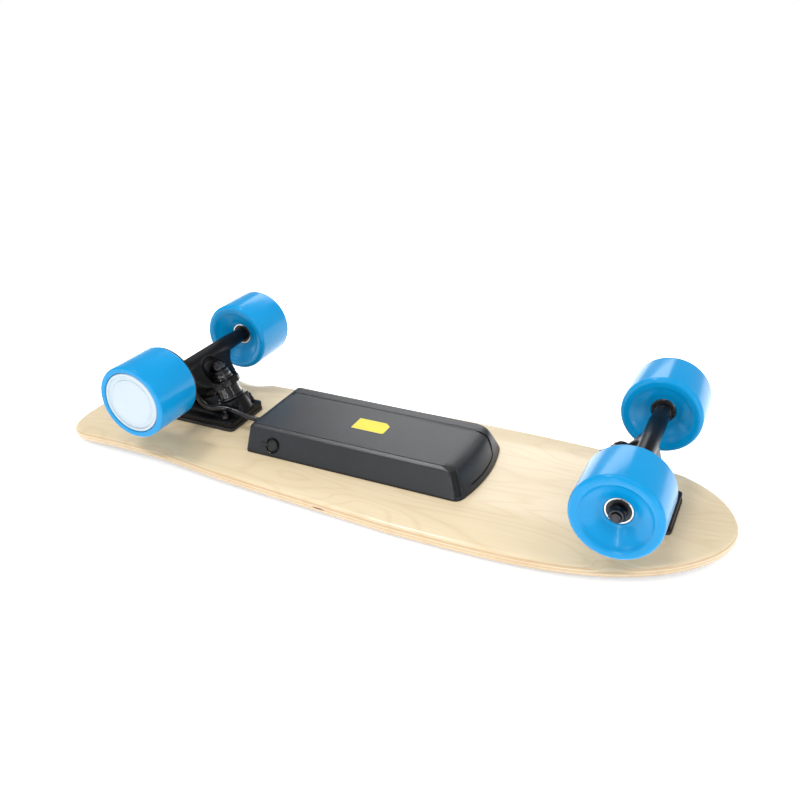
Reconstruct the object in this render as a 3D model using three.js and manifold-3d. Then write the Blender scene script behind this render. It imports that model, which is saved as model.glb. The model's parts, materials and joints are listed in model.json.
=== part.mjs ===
// Electric skateboard: a small maple cruiser with one hub motor, lying on its riding face, wheels up.
// Millimetres, +Z up, out of the deck's underside. +X points to the nose, -Y is the motor wheel's side.
// The deck's underside is built at z = 0, and the finished group is lifted until its lowest point is at 0.
import * as THREE from 'three';
import * as BufferGeometryUtils from 'three/addons/utils/BufferGeometryUtils.js';
import Module from 'manifold-3d';

const wasm = await Module();
wasm.setup();

// ---------------------------------------------------------------- driving dimensions

const GAP = 0.3; // clearance between pieces that touch

// deck
const DECK_LENGTH = 648;
const DECK_HALF_WIDTH = 98.7; // at the widest place
const DECK_WIDEST_X = 57;
const DECK_TAPER = 19; // how much narrower each side is at the tail
const DECK_THICKNESS = 9.4;
const TAIL_CORNER = 46; // length of the tail's rounded corners
const WAIST_DEPTH = 3.5; // how far each side is drawn in beside the rear wheels
const WAIST_HALF_LENGTH = 58;
const RAIL_DROP = 6; // how far the rails fall below the middle
const KICK_DROP = 9; // how far the tail's end falls below the middle
const FLAT_HALF_WIDTH = 42;
const KICK_START_X = -234.5;
const GRIP_THICKNESS = 0.8;
const WELL_DEPTH = 3.2;
const WELL_HALF_LENGTH = 23;
const WELL_START_Y = 62;

// trucks and wheels
const WHEELBASE = 440;
const TAIL_OVERHANG = 129; // from the rear axle to the tail's end
const AXLE_HEIGHT = 58.9; // above the deck's underside
const WHEEL_RADIUS = 35;
const WHEEL_WIDTH = 50;
const WHEEL_Y = 83.7; // middle of a plain wheel
const BEARING_DEPTH = 12; // from the wheel's side plane to the bearing's face
const BEARING_RADIUS = 11;
const BEARING_WIDTH = 7;
const AXLE_RADIUS = 4;
const AXLE_HALF_LENGTH = 106.3;
const HANGER_END_Y = 70;
const BEAM_RADIUS = 8;
const BEAM_END_RADIUS = 7.3;

// baseplate and riser, lengths along the truck: positive towards the middle of the board
const RISER_THICKNESS = 3.4;
const PLATE_TOP = 9.2;
const PLATE_OUTER = -30;
const PLATE_INNER = 49;
const PLATE_HALF_WIDTH = 27.5;
const BOLT_SPACING_LONG = 54;
const BOLT_SPACING_WIDE = 41.3;
const BOLT_MIDDLE = 11; // middle of the bolt pattern along the truck
const BOLT_RADIUS = 2.45;
const BOLT_END = 19;

// kingpin and steering axis in the truck's side view, as [along, height]
const SEAT = [32.6, 22.6];
const KINGPIN_LEAN = THREE.MathUtils.degToRad(24);
const YOKE_MIDDLE = 15.6; // up the kingpin, from the seat
const YOKE_THICKNESS = 8;
const YOKE_RADIUS = 18.5;
const KINGPIN_RADIUS = 4.8;
const BUSHING_RADIUS = 12.2;
const ROAD_BUSHING_HEIGHT = 9.4;
const PIVOT = [-16, 17];

// motor wheel
const MOTOR_Y = -77.9;
const MOTOR_WIDTH = 53;
const MOTOR_HANGER_Y = -49;
const ROTOR_RADIUS = 29;
const ROTOR_BORE = 26.2;
const STATOR_RADIUS = 25.4;
const MOTOR_AXLE_RADIUS = 6;

// box
const BOX_TAIL_X = -112.7;
const BOX_NOSE_X = 112.3;
const BOX_HALF_WIDTH = 52;
const BOX_HEIGHT = 24.5;
const BOX_BULGE = 7; // how far the nose end bows out
const BOX_WALL = 2.4;
const GASKET_THICKNESS = 1.6;
const LID_START = 2;
const SHOULDER_HALF_WIDTH = 43.2;
const SHOULDER_HEIGHT = 21.4;
const PANEL_HALF_WIDTH = 40.6;
const SHOULDER_NOSE_X = 100.5;
const PANEL_NOSE_X = 95;

const NOSE_X = DECK_LENGTH / 2;
const TAIL_X = -DECK_LENGTH / 2;
const REAR_X = TAIL_X + TAIL_OVERHANG;
const FRONT_X = REAR_X + WHEELBASE;

// ---------------------------------------------------------------- materials

function material(color, roughness, metalness = 0) {
  return new THREE.MeshStandardMaterial({ color, roughness, metalness });
}

const FINISH = {
  maple: () => material(0xefdcb6, 0.45),
  grip: () => material(0x232323, 0.95),
  rubber: () => material(0x1d1d1f, 0.8),
  castBlack: () => material(0x17181a, 0.42, 0.3),
  plasticBlack: () => material(0x26272a, 0.5),
  boxPlastic: () => material(0x55575b, 0.55),
  urethane: () => material(0x2a9be4, 0.22),
  bushing: () => material(0x141416, 0.4),
  steel: () => material(0xc8c9cc, 0.25, 1),
  blackSteel: () => material(0x1f2023, 0.35, 0.7),
  hubWhite: () => material(0xf0f4f8, 0.25),
  copper: () => material(0xb46a3c, 0.4, 0.8),
  cells: () => material(0x2f5fa8, 0.4),
  board: () => material(0x1f5a38, 0.5),
  label: () => material(0xf7ea52, 0.5),
};

// ---------------------------------------------------------------- solids and booleans

function merged(geometry) {
  const bare = new THREE.BufferGeometry();
  const source = geometry.index ? geometry.toNonIndexed() : geometry;
  bare.setAttribute('position', source.getAttribute('position').clone());
  return BufferGeometryUtils.mergeVertices(bare, 1e-3);
}

function solid(geometry) {
  const indexed = merged(geometry);
  const mesh = new wasm.Mesh({
    numProp: 3,
    vertProperties: new Float32Array(indexed.attributes.position.array),
    triVerts: new Uint32Array(indexed.index.array),
  });
  return new wasm.Manifold(mesh);
}

function geometryOf(manifold) {
  const mesh = manifold.getMesh();
  const geometry = new THREE.BufferGeometry();
  geometry.setAttribute('position', new THREE.BufferAttribute(mesh.vertProperties, 3));
  geometry.setIndex(new THREE.BufferAttribute(mesh.triVerts, 1));
  geometry.computeVertexNormals();
  return geometry;
}

function joined(...geometries) {
  return geometryOf(geometries.map(solid).reduce((sum, part) => sum.add(part)));
}

function cut(body, ...tools) {
  return geometryOf(tools.map(solid).reduce((rest, tool) => rest.subtract(tool), solid(body)));
}

function common(first, second) {
  return geometryOf(solid(first).intersect(solid(second)));
}

function place(group, name, geometry, finish, x = 0, y = 0, z = 0) {
  const mesh = new THREE.Mesh(geometry, finish);
  mesh.name = name;
  mesh.position.set(x, y, z);
  group.add(mesh);
  return mesh;
}

// ---------------------------------------------------------------- basic shapes

// A solid of revolution about the Y axis from [radius, y] points in order of rising y on the outside.
function turned(points, segments = 24) {
  const profile = points.map(([radius, y]) => new THREE.Vector2(radius, y));
  return new THREE.LatheGeometry(profile, segments);
}

function rod(radius, from, to, segments = 20) {
  return turned([[0, from], [radius, from], [radius, to], [0, to]], segments);
}

function tube(bore, radius, from, to, segments = 24) {
  return turned([[bore, from], [radius, from], [radius, to], [bore, to], [bore, from]], segments);
}

function upright(geometry) {
  return geometry.rotateX(Math.PI / 2);
}

function hexPrism(acrossFlats, from, to) {
  return rod(acrossFlats / 2 / Math.cos(Math.PI / 6), from, to, 6);
}

function roundedRectangle(x0, x1, y0, y1, radius) {
  const shape = new THREE.Shape();
  shape.moveTo(x0 + radius, y0);
  shape.lineTo(x1 - radius, y0);
  shape.absarc(x1 - radius, y0 + radius, radius, -Math.PI / 2, 0);
  shape.absarc(x1 - radius, y1 - radius, radius, 0, Math.PI / 2);
  shape.absarc(x0 + radius, y1 - radius, radius, Math.PI / 2, Math.PI);
  shape.absarc(x0 + radius, y0 + radius, radius, Math.PI, Math.PI * 1.5);
  return shape;
}

function extruded(shape, from, to, curveSegments = 4) {
  const geometry = new THREE.ExtrudeGeometry(shape, {
    depth: to - from, bevelEnabled: false, curveSegments,
  });
  return geometry.translate(0, 0, from);
}

// A side view, points as [along, height], made solid between two places across the truck.
function sideSlab(points, from, to) {
  const shape = new THREE.Shape(points.map(([x, z]) => new THREE.Vector2(x, z)));
  return extruded(shape, -to, -from).rotateX(Math.PI / 2);
}

// A front view, points as [across, height], made solid along the truck.
function frontSlab(points, from, to) {
  const shape = new THREE.Shape(points.map(([y, z]) => new THREE.Vector2(y, z)));
  const axes = new THREE.Matrix4().set(0, 0, 1, 0, 1, 0, 0, 0, 0, 1, 0, 0, 0, 0, 0, 1);
  return extruded(shape, from, to).applyMatrix4(axes);
}

// Turns a shape built about the Y axis so that Y points along a direction, and moves it to a place.
function aimed(geometry, origin, direction) {
  const up = new THREE.Vector3(0, 1, 0);
  const turn = new THREE.Quaternion().setFromUnitVectors(up, direction.clone().normalize());
  const matrix = new THREE.Matrix4().compose(origin, turn, new THREE.Vector3(1, 1, 1));
  return geometry.applyMatrix4(matrix);
}

// ---------------------------------------------------------------- deck and grip sheet

function deckHalfWidth(x) {
  const towardsTail = Math.max(0, (DECK_WIDEST_X - x) / (DECK_WIDEST_X - TAIL_X));
  const towardsNose = Math.max(0, (x - DECK_WIDEST_X) / (NOSE_X - DECK_WIDEST_X));
  const corner = Math.max(0, (TAIL_X + TAIL_CORNER - x) / TAIL_CORNER);
  const waist = Math.exp(-(((x - REAR_X) / WAIST_HALF_LENGTH) ** 2));
  const side = DECK_HALF_WIDTH - DECK_TAPER * towardsTail - WAIST_DEPTH * waist;
  return side * (1 - Math.min(1, towardsNose) ** 3.6) ** 0.54 * (1 - Math.min(1, corner) ** 2.7) ** 0.25;
}

// How far the deck has fallen below its flat middle: concave rails that blend into the tail's kick.
function deckDrop(x, y) {
  const rail = Math.max(0, Math.abs(y) - FLAT_HALF_WIDTH) / (DECK_HALF_WIDTH - FLAT_HALF_WIDTH);
  const kick = Math.max(0, (KICK_START_X - x) / (KICK_START_X - TAIL_X)) ** 2;
  return RAIL_DROP * rail ** 2 * (1 - kick) + KICK_DROP * kick;
}

function wheelWell(x, y) {
  const out = Math.min(1, Math.max(0, (Math.abs(y) - WELL_START_Y) / 18));
  const along = [REAR_X, FRONT_X].map((axle) => 1 - ((x - axle) / WELL_HALF_LENGTH) ** 2);
  return WELL_DEPTH * out * out * Math.max(0, ...along);
}

function deckStations() {
  const stations = [];
  for (const step of [0, 0.12, 0.28, 0.46, 0.64, 0.82]) stations.push(TAIL_X + TAIL_CORNER * step ** 2);
  for (let x = TAIL_X + TAIL_CORNER; x < REAR_X - 30; x += 22) stations.push(x);
  for (let x = REAR_X - 24; x <= REAR_X + 24; x += 12) stations.push(x);
  for (let x = REAR_X + 50; x < FRONT_X - 40; x += 55) stations.push(x);
  for (let x = FRONT_X - 24; x <= FRONT_X + 24; x += 12) stations.push(x);
  const last = stations[stations.length - 1];
  for (let step = 1; step <= 7; step += 1) {
    stations.push(last + (NOSE_X - last) * Math.sin((step / 7) * Math.PI / 2));
  }
  return stations;
}

// A sheet with the deck's outline. edge lists rings from the lower face to the upper one, each with how
// far it lies inside the outline and its height as a function of x and y. columns are places across it.
function deckSheet(edge, columns, stations = deckStations()) {
  const corners = [];
  const last = stations.length - 1;
  const at = (station, across, ring) => {
    const x = stations[station] * (1 - ring.inset / (DECK_LENGTH / 2));
    const isEnd = station === 0 || station === last;
    const width = isEnd ? 0 : deckHalfWidth(stations[station]) * (1 - ring.inset / DECK_HALF_WIDTH);
    return [x, width * across, ring.height(x, width * across)];
  };
  const quad = (a, b, c, d) => corners.push(a, b, c, a, c, d);
  for (let i = 0; i < last; i += 1) {
    for (let k = 0; k < edge.length - 1; k += 1) {
      const [low, high] = [edge[k], edge[k + 1]];
      quad(at(i, 1, low), at(i, 1, high), at(i + 1, 1, high), at(i + 1, 1, low));
      quad(at(i, -1, low), at(i + 1, -1, low), at(i + 1, -1, high), at(i, -1, high));
    }
    const [bottom, top] = [edge[0], edge[edge.length - 1]];
    for (let j = 0; j < columns.length - 1; j += 1) {
      const [a, b] = [columns[j], columns[j + 1]];
      quad(at(i, a, top), at(i + 1, a, top), at(i + 1, b, top), at(i, b, top));
      quad(at(i, a, bottom), at(i, b, bottom), at(i + 1, b, bottom), at(i + 1, a, bottom));
    }
  }
  const geometry = new THREE.BufferGeometry();
  geometry.setAttribute('position', new THREE.Float32BufferAttribute(corners.flat(), 3));
  return withoutSlivers(geometry);
}

// Drops the triangles that have closed up to a line, as at the nose and tail points.
function withoutSlivers(geometry) {
  const indexed = merged(geometry);
  const kept = [];
  for (let i = 0; i < indexed.index.count; i += 3) {
    const [a, b, c] = [0, 1, 2].map((step) => indexed.index.getX(i + step));
    if (a !== b && b !== c && c !== a) kept.push(a, b, c);
  }
  indexed.setIndex(kept);
  return indexed;
}

function boltPlaces() {
  const places = [];
  for (const [axle, inward] of [[REAR_X, 1], [FRONT_X, -1]]) {
    for (const end of [-1, 1]) {
      for (const side of [-1, 1]) {
        const along = BOLT_MIDDLE + end * BOLT_SPACING_LONG / 2;
        places.push([axle + inward * along, side * BOLT_SPACING_WIDE / 2]);
      }
    }
  }
  return places;
}

function boltHoles(from, to) {
  return boltPlaces().map(([x, y]) => upright(rod(BOLT_RADIUS + GAP, from, to, 10)).translate(x, y, 0));
}

const COLUMNS = [-1, -0.86, -0.7, -0.42, 0.42, 0.7, 0.86, 1]; // places across the deck, as fractions

function deck(group) {
  const topAt = (below) => (x, y) => -deckDrop(x, y) - wheelWell(x, y) - below;
  const bottomAt = (above) => (x, y) => -deckDrop(x, y) - DECK_THICKNESS + above;
  const edge = [
    { inset: 3, height: bottomAt(0) },
    { inset: 0, height: bottomAt(2.6) },
    { inset: 0, height: (x, y) => topAt(0)(x, y) - Math.min(3, (DECK_THICKNESS - wheelWell(x, y)) / 3) },
    { inset: 1.2, height: topAt(1.1) },
    { inset: 4, height: topAt(0) },
  ];
  const plank = deckSheet(edge, COLUMNS);
  place(group, 'deck', cut(plank, ...boltHoles(-30, 10)), FINISH.maple());
}

function gripSheet(group) {
  const at = (below) => (x, y) => -deckDrop(x, y) - DECK_THICKNESS - GAP - below;
  const edge = [{ inset: 4.2, height: at(GRIP_THICKNESS) }, { inset: 4.2, height: at(0) }];
  const head = boltPlaces().map(([x, y]) => upright(rod(5, -30, 10, 10)).translate(x, y, 0));
  place(group, 'grip_sheet', cut(deckSheet(edge, COLUMNS), ...head), FINISH.grip());
}

// A countersunk bolt with its nut, through the grip, deck, riser and baseplate.
function mountingBolts(group) {
  const head = -DECK_THICKNESS - GAP - GRIP_THICKNESS + 0.2;
  const places = boltPlaces();
  const ends = ['rear', 'front'];
  places.forEach(([x, y], index) => {
    const shank = turned([
      [0, head], [4.5, head], [4.5, head + 0.5], [BOLT_RADIUS, head + 0.7],
      [BOLT_RADIUS, BOLT_END], [0, BOLT_END],
    ], 10);
    const nut = hexPrism(8, PLATE_TOP + GAP, PLATE_TOP + 5);
    const name = `${ends[Math.floor(index / 4)]}_truck_bolt_${(index % 4) + 1}`;
    place(group, name, upright(joined(shank, nut)), FINISH.blackSteel(), x, y);
  });
}

// ---------------------------------------------------------------- trucks

const KINGPIN_AXIS = new THREE.Vector3(-Math.sin(KINGPIN_LEAN), 0, Math.cos(KINGPIN_LEAN));

function upKingpin(distance) {
  const seat = new THREE.Vector3(SEAT[0], 0, SEAT[1]);
  return seat.addScaledVector(KINGPIN_AXIS, distance);
}

function onKingpin(geometry) {
  return aimed(geometry, upKingpin(0), KINGPIN_AXIS);
}

const PIVOT_POINT = new THREE.Vector3(PIVOT[0], 0, PIVOT[1]);
const STEER_AXIS = upKingpin(YOKE_MIDDLE).sub(PIVOT_POINT).normalize();

function onSteerAxis(geometry) {
  return aimed(geometry, PIVOT_POINT, STEER_AXIS);
}

function baseplate() {
  const plate = extruded(
    roundedRectangle(PLATE_OUTER, PLATE_INNER, -PLATE_HALF_WIDTH, PLATE_HALF_WIDTH, 5),
    RISER_THICKNESS + GAP, PLATE_TOP,
  );
  const seatBlock = sideSlab([
    [12, PLATE_TOP - 1], [PLATE_INNER - 1, PLATE_TOP - 1], [PLATE_INNER - 1, 10.5],
    [44.6, 27.7], [20.6, 17.2],
  ], -12.4, 12.4);
  const seatRound = onKingpin(rod(12.6, -30, 0, 24));
  const seatBase = frontSlab([
    [-13.6, PLATE_TOP - 1], [13.6, PLATE_TOP - 1], [12.6, 30], [-12.6, 30],
  ], 0, 60);
  const seat = common(joined(seatBlock, seatRound), joined(seatBase));
  const pivotBoss = sideSlab([
    [-27, PLATE_TOP - 1], [-4, PLATE_TOP - 1], [-9.5, 14.5], [-14.5, 26], [-22.5, 24], [-27, 15],
  ], -10.5, 10.5);
  const ridge = sideSlab([
    [-16, PLATE_TOP - 1], [32, PLATE_TOP - 1], [26, 13.4], [-10, 13.4],
  ], -12, 12);
  const holes = [-1, 1].flatMap((end) => [-1, 1].map((side) => {
    const along = BOLT_MIDDLE + end * BOLT_SPACING_LONG / 2;
    return upright(rod(BOLT_RADIUS + GAP, -5, 20, 10)).translate(along, side * BOLT_SPACING_WIDE / 2, 0);
  }));
  const cupBore = onSteerAxis(rod(8.3, -6.3, 40, 16));
  const kingpinBore = onKingpin(rod(KINGPIN_RADIUS + GAP, -40, 20, 16));
  return cut(joined(plate, seat, pivotBoss, ridge), cupBore, kingpinBore, ...holes);
}

function riserPad() {
  const pad = extruded(
    roundedRectangle(PLATE_OUTER - 0.8, PLATE_INNER + 0.8, -PLATE_HALF_WIDTH - 0.8, PLATE_HALF_WIDTH + 0.8, 5),
    0.1, RISER_THICKNESS,
  );
  const holes = [-1, 1].flatMap((end) => [-1, 1].map((side) => {
    const along = BOLT_MIDDLE + end * BOLT_SPACING_LONG / 2;
    return upright(rod(BOLT_RADIUS + GAP, -5, 20, 10)).translate(along, side * BOLT_SPACING_WIDE / 2, 0);
  }));
  return cut(pad, ...holes);
}

// The hanger: a beam for the axle, a web down to the yoke, and a nose that turns in the pivot cup.
function hanger(left, right) {
  const beam = turned([
    [0, left], [BEAM_END_RADIUS, left], [BEAM_END_RADIUS, left + 14], [BEAM_RADIUS, left + 30],
    [BEAM_RADIUS, right - 30], [BEAM_END_RADIUS, right - 14], [BEAM_END_RADIUS, right], [0, right],
  ], 16).translate(0, 0, AXLE_HEIGHT);
  const yoke = upKingpin(YOKE_MIDDLE);
  const webSide = sideSlab([
    [-7.4, AXLE_HEIGHT - 2], [-12.5, 42], [-15.5, 30.5], [-9, 26.5], [yoke.x - 11, yoke.z - 9.4],
    [yoke.x - 5, yoke.z - 5.8], [yoke.x + 3, yoke.z + 5.2], [22.5, 47], [7.4, AXLE_HEIGHT + 1],
    [0, AXLE_HEIGHT + 5],
  ], -60, 60);
  const webFront = frontSlab([
    [-38, AXLE_HEIGHT + 8], [-38, AXLE_HEIGHT - 5], [-28, AXLE_HEIGHT - 10], [-20.5, AXLE_HEIGHT - 17],
    [-18, 34], [-12, 20], [12, 20], [18, 34], [20.5, AXLE_HEIGHT - 17], [28, AXLE_HEIGHT - 10],
    [38, AXLE_HEIGHT - 5], [38, AXLE_HEIGHT + 8],
  ], -60, 60);
  const half = YOKE_THICKNESS / 2;
  const ring = onKingpin(rod(YOKE_RADIUS, YOKE_MIDDLE - half, YOKE_MIDDLE + half, 20));
  const nose = onSteerAxis(turned([
    [0, -4.6], [2.6, -3.8], [4.6, 0], [5.4, 6], [8.5, 14], [9, 24], [0, 24],
  ], 12));
  const yokeBore = onKingpin(rod(8, 0, 40, 16));
  const nutNiche = onKingpin(turned([
    [0, YOKE_MIDDLE + half], [12, YOKE_MIDDLE + half], [12, 38], [9.5, 43.5], [5, 46.8], [0, 47.8],
  ], 20)).scale(1, 1.2, 1);
  const bushingRoom = onKingpin(rod(YOKE_RADIUS + 1, -10, YOKE_MIDDLE - half, 20));
  const axleBore = rod(AXLE_RADIUS + GAP, left - 1, right + 1, 12).translate(0, 0, AXLE_HEIGHT);
  const web = cut(common(webSide, webFront), bushingRoom);
  return { body: joined(beam, web, ring, nose), tools: [yokeBore, nutNiche, axleBore] };
}

function truck(model, name, axleX, heading, hangerBody, hangerTools) {
  const group = new THREE.Group();
  group.position.set(axleX, 0, 0);
  group.rotation.z = heading;
  model.add(group);
  const half = YOKE_THICKNESS / 2;
  const bore = KINGPIN_RADIUS + GAP;
  place(group, `${name}_riser_pad`, riserPad(), FINISH.rubber());
  place(group, `${name}_baseplate`, baseplate(), FINISH.castBlack());
  const cup = turned([
    [0, -6], [8, -6], [8, 2.5], [5.5, 2.5], [5, 0], [3.4, -4.6], [0, -5],
  ], 16);
  place(group, `${name}_pivot_cup`, onSteerAxis(cup), FINISH.plasticBlack());
  const base = YOKE_MIDDLE + half;
  const washerBase = base + ROAD_BUSHING_HEIGHT + GAP;
  const end = washerBase + 9.7;
  place(group, `${name}_kingpin`, onKingpin(rod(KINGPIN_RADIUS, -16, end, 16)), FINISH.blackSteel());
  const lower = tube(bore, BUSHING_RADIUS, GAP, YOKE_MIDDLE - half - GAP, 16);
  place(group, `${name}_board_bushing`, onKingpin(lower), FINISH.bushing());
  const upper = turned([
    [bore, base + GAP], [10.6, base + GAP], [9, washerBase - GAP], [bore, washerBase - GAP],
    [bore, base + GAP],
  ], 16);
  place(group, `${name}_road_bushing`, onKingpin(upper), FINISH.bushing());
  const washer = tube(bore, 9.6, washerBase, washerBase + 1.3, 16);
  place(group, `${name}_road_washer`, onKingpin(washer), FINISH.blackSteel());
  const nut = cut(hexPrism(14.2, washerBase + 1.6, washerBase + 8.3), rod(bore, 0, 60, 16));
  place(group, `${name}_kingpin_nut`, onKingpin(nut), FINISH.blackSteel());
  place(group, `${name}_hanger`, cut(hangerBody, ...hangerTools), FINISH.castBlack());
}

// ---------------------------------------------------------------- plain wheels

// One wheel with its bearings and nut, built about its own middle with its outer side at -Y.
function plainWheel(model, name, axleX, side) {
  const group = new THREE.Group();
  group.position.set(axleX, side * WHEEL_Y, AXLE_HEIGHT);
  group.rotation.z = side > 0 ? Math.PI : 0;
  model.add(group);
  const half = WHEEL_WIDTH / 2;
  const inner = half - BEARING_DEPTH;
  const seat = BEARING_RADIUS + GAP;
  const tyre = turned([
    [seat, -inner + BEARING_WIDTH], [seat, -inner - 0.8], [20, -half + 4.6], [24.6, -half + 1.2],
    [30.8, -half], [33.8, -half + 1.2], [WHEEL_RADIUS, -half + 4.2],
    [WHEEL_RADIUS, half - 4.2], [33.8, half - 1.2], [30.8, half], [24.6, half - 1], [20, half - 3.4],
    [seat, inner + 0.8], [seat, inner - BEARING_WIDTH],
    [8.6, inner - BEARING_WIDTH], [8.6, -inner + BEARING_WIDTH], [seat, -inner + BEARING_WIDTH],
  ], 28);
  place(group, `${name}_tyre`, tyre, FINISH.urethane());
  const bearing = () => tube(AXLE_RADIUS + 0.1, BEARING_RADIUS, 0, BEARING_WIDTH - 0.1, 16);
  place(group, `${name}_outer_bearing`, bearing(), FINISH.steel(), 0, -inner);
  place(group, `${name}_inner_bearing`, bearing(), FINISH.steel(), 0, inner - BEARING_WIDTH + 0.1);
}

function axleNut(model, name, axleX, side) {
  const start = WHEEL_Y + WHEEL_WIDTH / 2 - BEARING_DEPTH + GAP;
  const washer = tube(AXLE_RADIUS + 0.1, 6.2, start, start + 1, 12);
  const hex = cut(hexPrism(12.6, start + 1, start + 8), rod(AXLE_RADIUS + 0.1, 0, 200, 12));
  const nut = joined(washer, hex);
  if (side < 0) nut.rotateX(Math.PI);
  place(model, name, nut, FINISH.blackSteel(), axleX, 0, AXLE_HEIGHT);
}

// ---------------------------------------------------------------- motor wheel

function motorWheel(model) {
  const group = new THREE.Group();
  group.position.set(REAR_X, MOTOR_Y, AXLE_HEIGHT);
  model.add(group);
  const half = MOTOR_WIDTH / 2;
  const sleeve = turned([
    [ROTOR_RADIUS + GAP, -half + 1], [ROTOR_RADIUS + 1.2, -half], [33, -half], [34.4, -half + 0.7],
    [WHEEL_RADIUS, -half + 2.2], [WHEEL_RADIUS, half - 4.2], [34.3, half - 2.8], [33, half - 2.3],
    [ROTOR_RADIUS + GAP, half - 2.3], [ROTOR_RADIUS + GAP, -half + 1],
  ], 36);
  place(group, 'motor_tyre', sleeve, FINISH.urethane());
  const shell = tube(ROTOR_BORE, ROTOR_RADIUS, -half + 5, half - 2.3, 36);
  place(group, 'motor_rotor_shell', shell, FINISH.blackSteel());
  const outer = turned([
    [0, -half + 1.6], [16, -half + 1.6], [16.6, -half + 2], [25.6, -half + 2], [26.4, -half + 1],
    [28.8, -half + 1], [28.8, -half + 4.8], [12.6, -half + 4.8], [12.6, -half + 12],
    [BEARING_RADIUS + GAP, -half + 12], [BEARING_RADIUS + GAP, -half + 4.4], [0, -half + 4.4],
  ], 24);
  place(group, 'motor_outer_cover', outer, FINISH.hubWhite());
  const inner = turned([
    [12.1, half - 10], [14, half - 10], [14, half - 4.5], [26, half - 4.5], [26, half - 2],
    [33.6, half - 2], [33.6, half], [12.1, half], [12.1, half - 10],
  ], 28);
  place(group, 'motor_inner_cover', inner, FINISH.plasticBlack());
  const outerBearing = tube(AXLE_RADIUS + 0.1, BEARING_RADIUS, -half + 4.9, -half + 11.8, 16);
  place(group, 'motor_outer_bearing', outerBearing, FINISH.steel());
  const innerBearing = tube(MOTOR_AXLE_RADIUS + GAP, 11.8, half - 8, half - 2, 16);
  place(group, 'motor_inner_bearing', innerBearing, FINISH.steel());
  const wound = [];
  const teeth = 12;
  for (let i = 0; i < teeth * 4; i += 1) {
    const angle = (i / (teeth * 4)) * Math.PI * 2;
    const radius = i % 4 < 2 ? STATOR_RADIUS : STATOR_RADIUS - 5;
    wound.push(new THREE.Vector2(Math.cos(angle) * radius, Math.sin(angle) * radius));
  }
  const core = extruded(new THREE.Shape(wound), -13, 13).rotateX(Math.PI / 2);
  const stator = cut(core, rod(MOTOR_AXLE_RADIUS + GAP, -20, 20, 16));
  place(group, 'motor_stator', stator, FINISH.copper());
  const root = MOTOR_AXLE_RADIUS;
  const axle = turned([
    [0, -half + 4.9], [AXLE_RADIUS, -half + 4.9], [AXLE_RADIUS, -half + 12.4], [root, -half + 12.4],
    [root, half + 1.6], [AXLE_RADIUS, half + 1.6], [AXLE_RADIUS, half + 28], [0, half + 28],
  ], 16);
  place(group, 'motor_axle', axle, FINISH.steel());
}

// ---------------------------------------------------------------- motor cable

const CABLE_RADIUS = 2.5;
const CABLE_ROUTE = [
  [7.8, -44.3, 54.4], [11, -44.2, 52.4], [14.6, -43, 49], [17.2, -40.3, 44.4], [18.5, -36.8, 39],
  [18.6, -33.2, 33.6],
  [18.4, -29.8, 28], [20.5, -26.6, 22.8], [25, -22.6, 19.4], [31, -18.3, 18.8], [38, -15.6, 18.2],
  [45, -15.3, 17.2], [52, -15.2, 15.6], [59, -14.4, 13.4], [66, -13, 11.8], [73, -12.2, 11.1],
  [81.5, -12, 11],
];

function motorCable(model) {
  const points = CABLE_ROUTE.map(([x, y, z]) => new THREE.Vector3(REAR_X + x, y, z));
  const section = new THREE.Shape();
  section.absarc(0, 0, CABLE_RADIUS, 0, Math.PI * 2);
  const route = new THREE.CatmullRomCurve3(points);
  const cable = new THREE.ExtrudeGeometry(section, {
    steps: 32, curveSegments: 4, extrudePath: route, bevelEnabled: false,
  });
  place(model, 'motor_cable', cable, FINISH.rubber());
}

// ---------------------------------------------------------------- box

// The box's plan at one height: square tail corners, a bowed nose end with rounder corners.
function boxOutline(halfWidth, tailX, noseX, inset = 0, bulge = BOX_BULGE) {
  const [w, x0, x1] = [halfWidth - inset, tailX + inset, noseX - inset];
  const shoulder = x1 - bulge;
  const shape = new THREE.Shape();
  shape.moveTo(x0 + 4, -w);
  shape.lineTo(shoulder - 7, -w);
  shape.quadraticCurveTo(shoulder, -w, shoulder + 1, -w + 7);
  shape.quadraticCurveTo(x1 + bulge - 2, 0, shoulder + 1, w - 7);
  shape.quadraticCurveTo(shoulder, w, shoulder - 7, w);
  shape.lineTo(x0 + 4, w);
  shape.quadraticCurveTo(x0, w, x0, w - 4);
  shape.lineTo(x0, -w + 4);
  shape.quadraticCurveTo(x0, -w, x0 + 4, -w);
  return shape;
}

// Joins outlines with equal numbers of points into one closed solid, each ring at its own height.
function lofted(rings) {
  const loops = rings.map(({ shape, z }) => {
    const points = shape.getPoints(5).slice(0, -1);
    return points.map((point) => [point.x, point.y, z]);
  });
  const corners = [];
  const count = loops[0].length;
  for (let k = 0; k < loops.length - 1; k += 1) {
    for (let i = 0; i < count; i += 1) {
      const next = (i + 1) % count;
      const [a, b, c, d] = [loops[k][i], loops[k][next], loops[k + 1][next], loops[k + 1][i]];
      corners.push(a, b, c, a, c, d);
    }
  }
  const top = loops[loops.length - 1];
  const bottom = loops[0];
  for (let i = 0; i < count; i += 1) {
    const next = (i + 1) % count;
    corners.push(top[i], top[next], [0, 0, top[0][2]]);
    corners.push(bottom[next], bottom[i], [0, 0, bottom[0][2]]);
  }
  const geometry = new THREE.BufferGeometry();
  geometry.setAttribute('position', new THREE.Float32BufferAttribute(corners.flat(), 3));
  return geometry;
}

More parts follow.
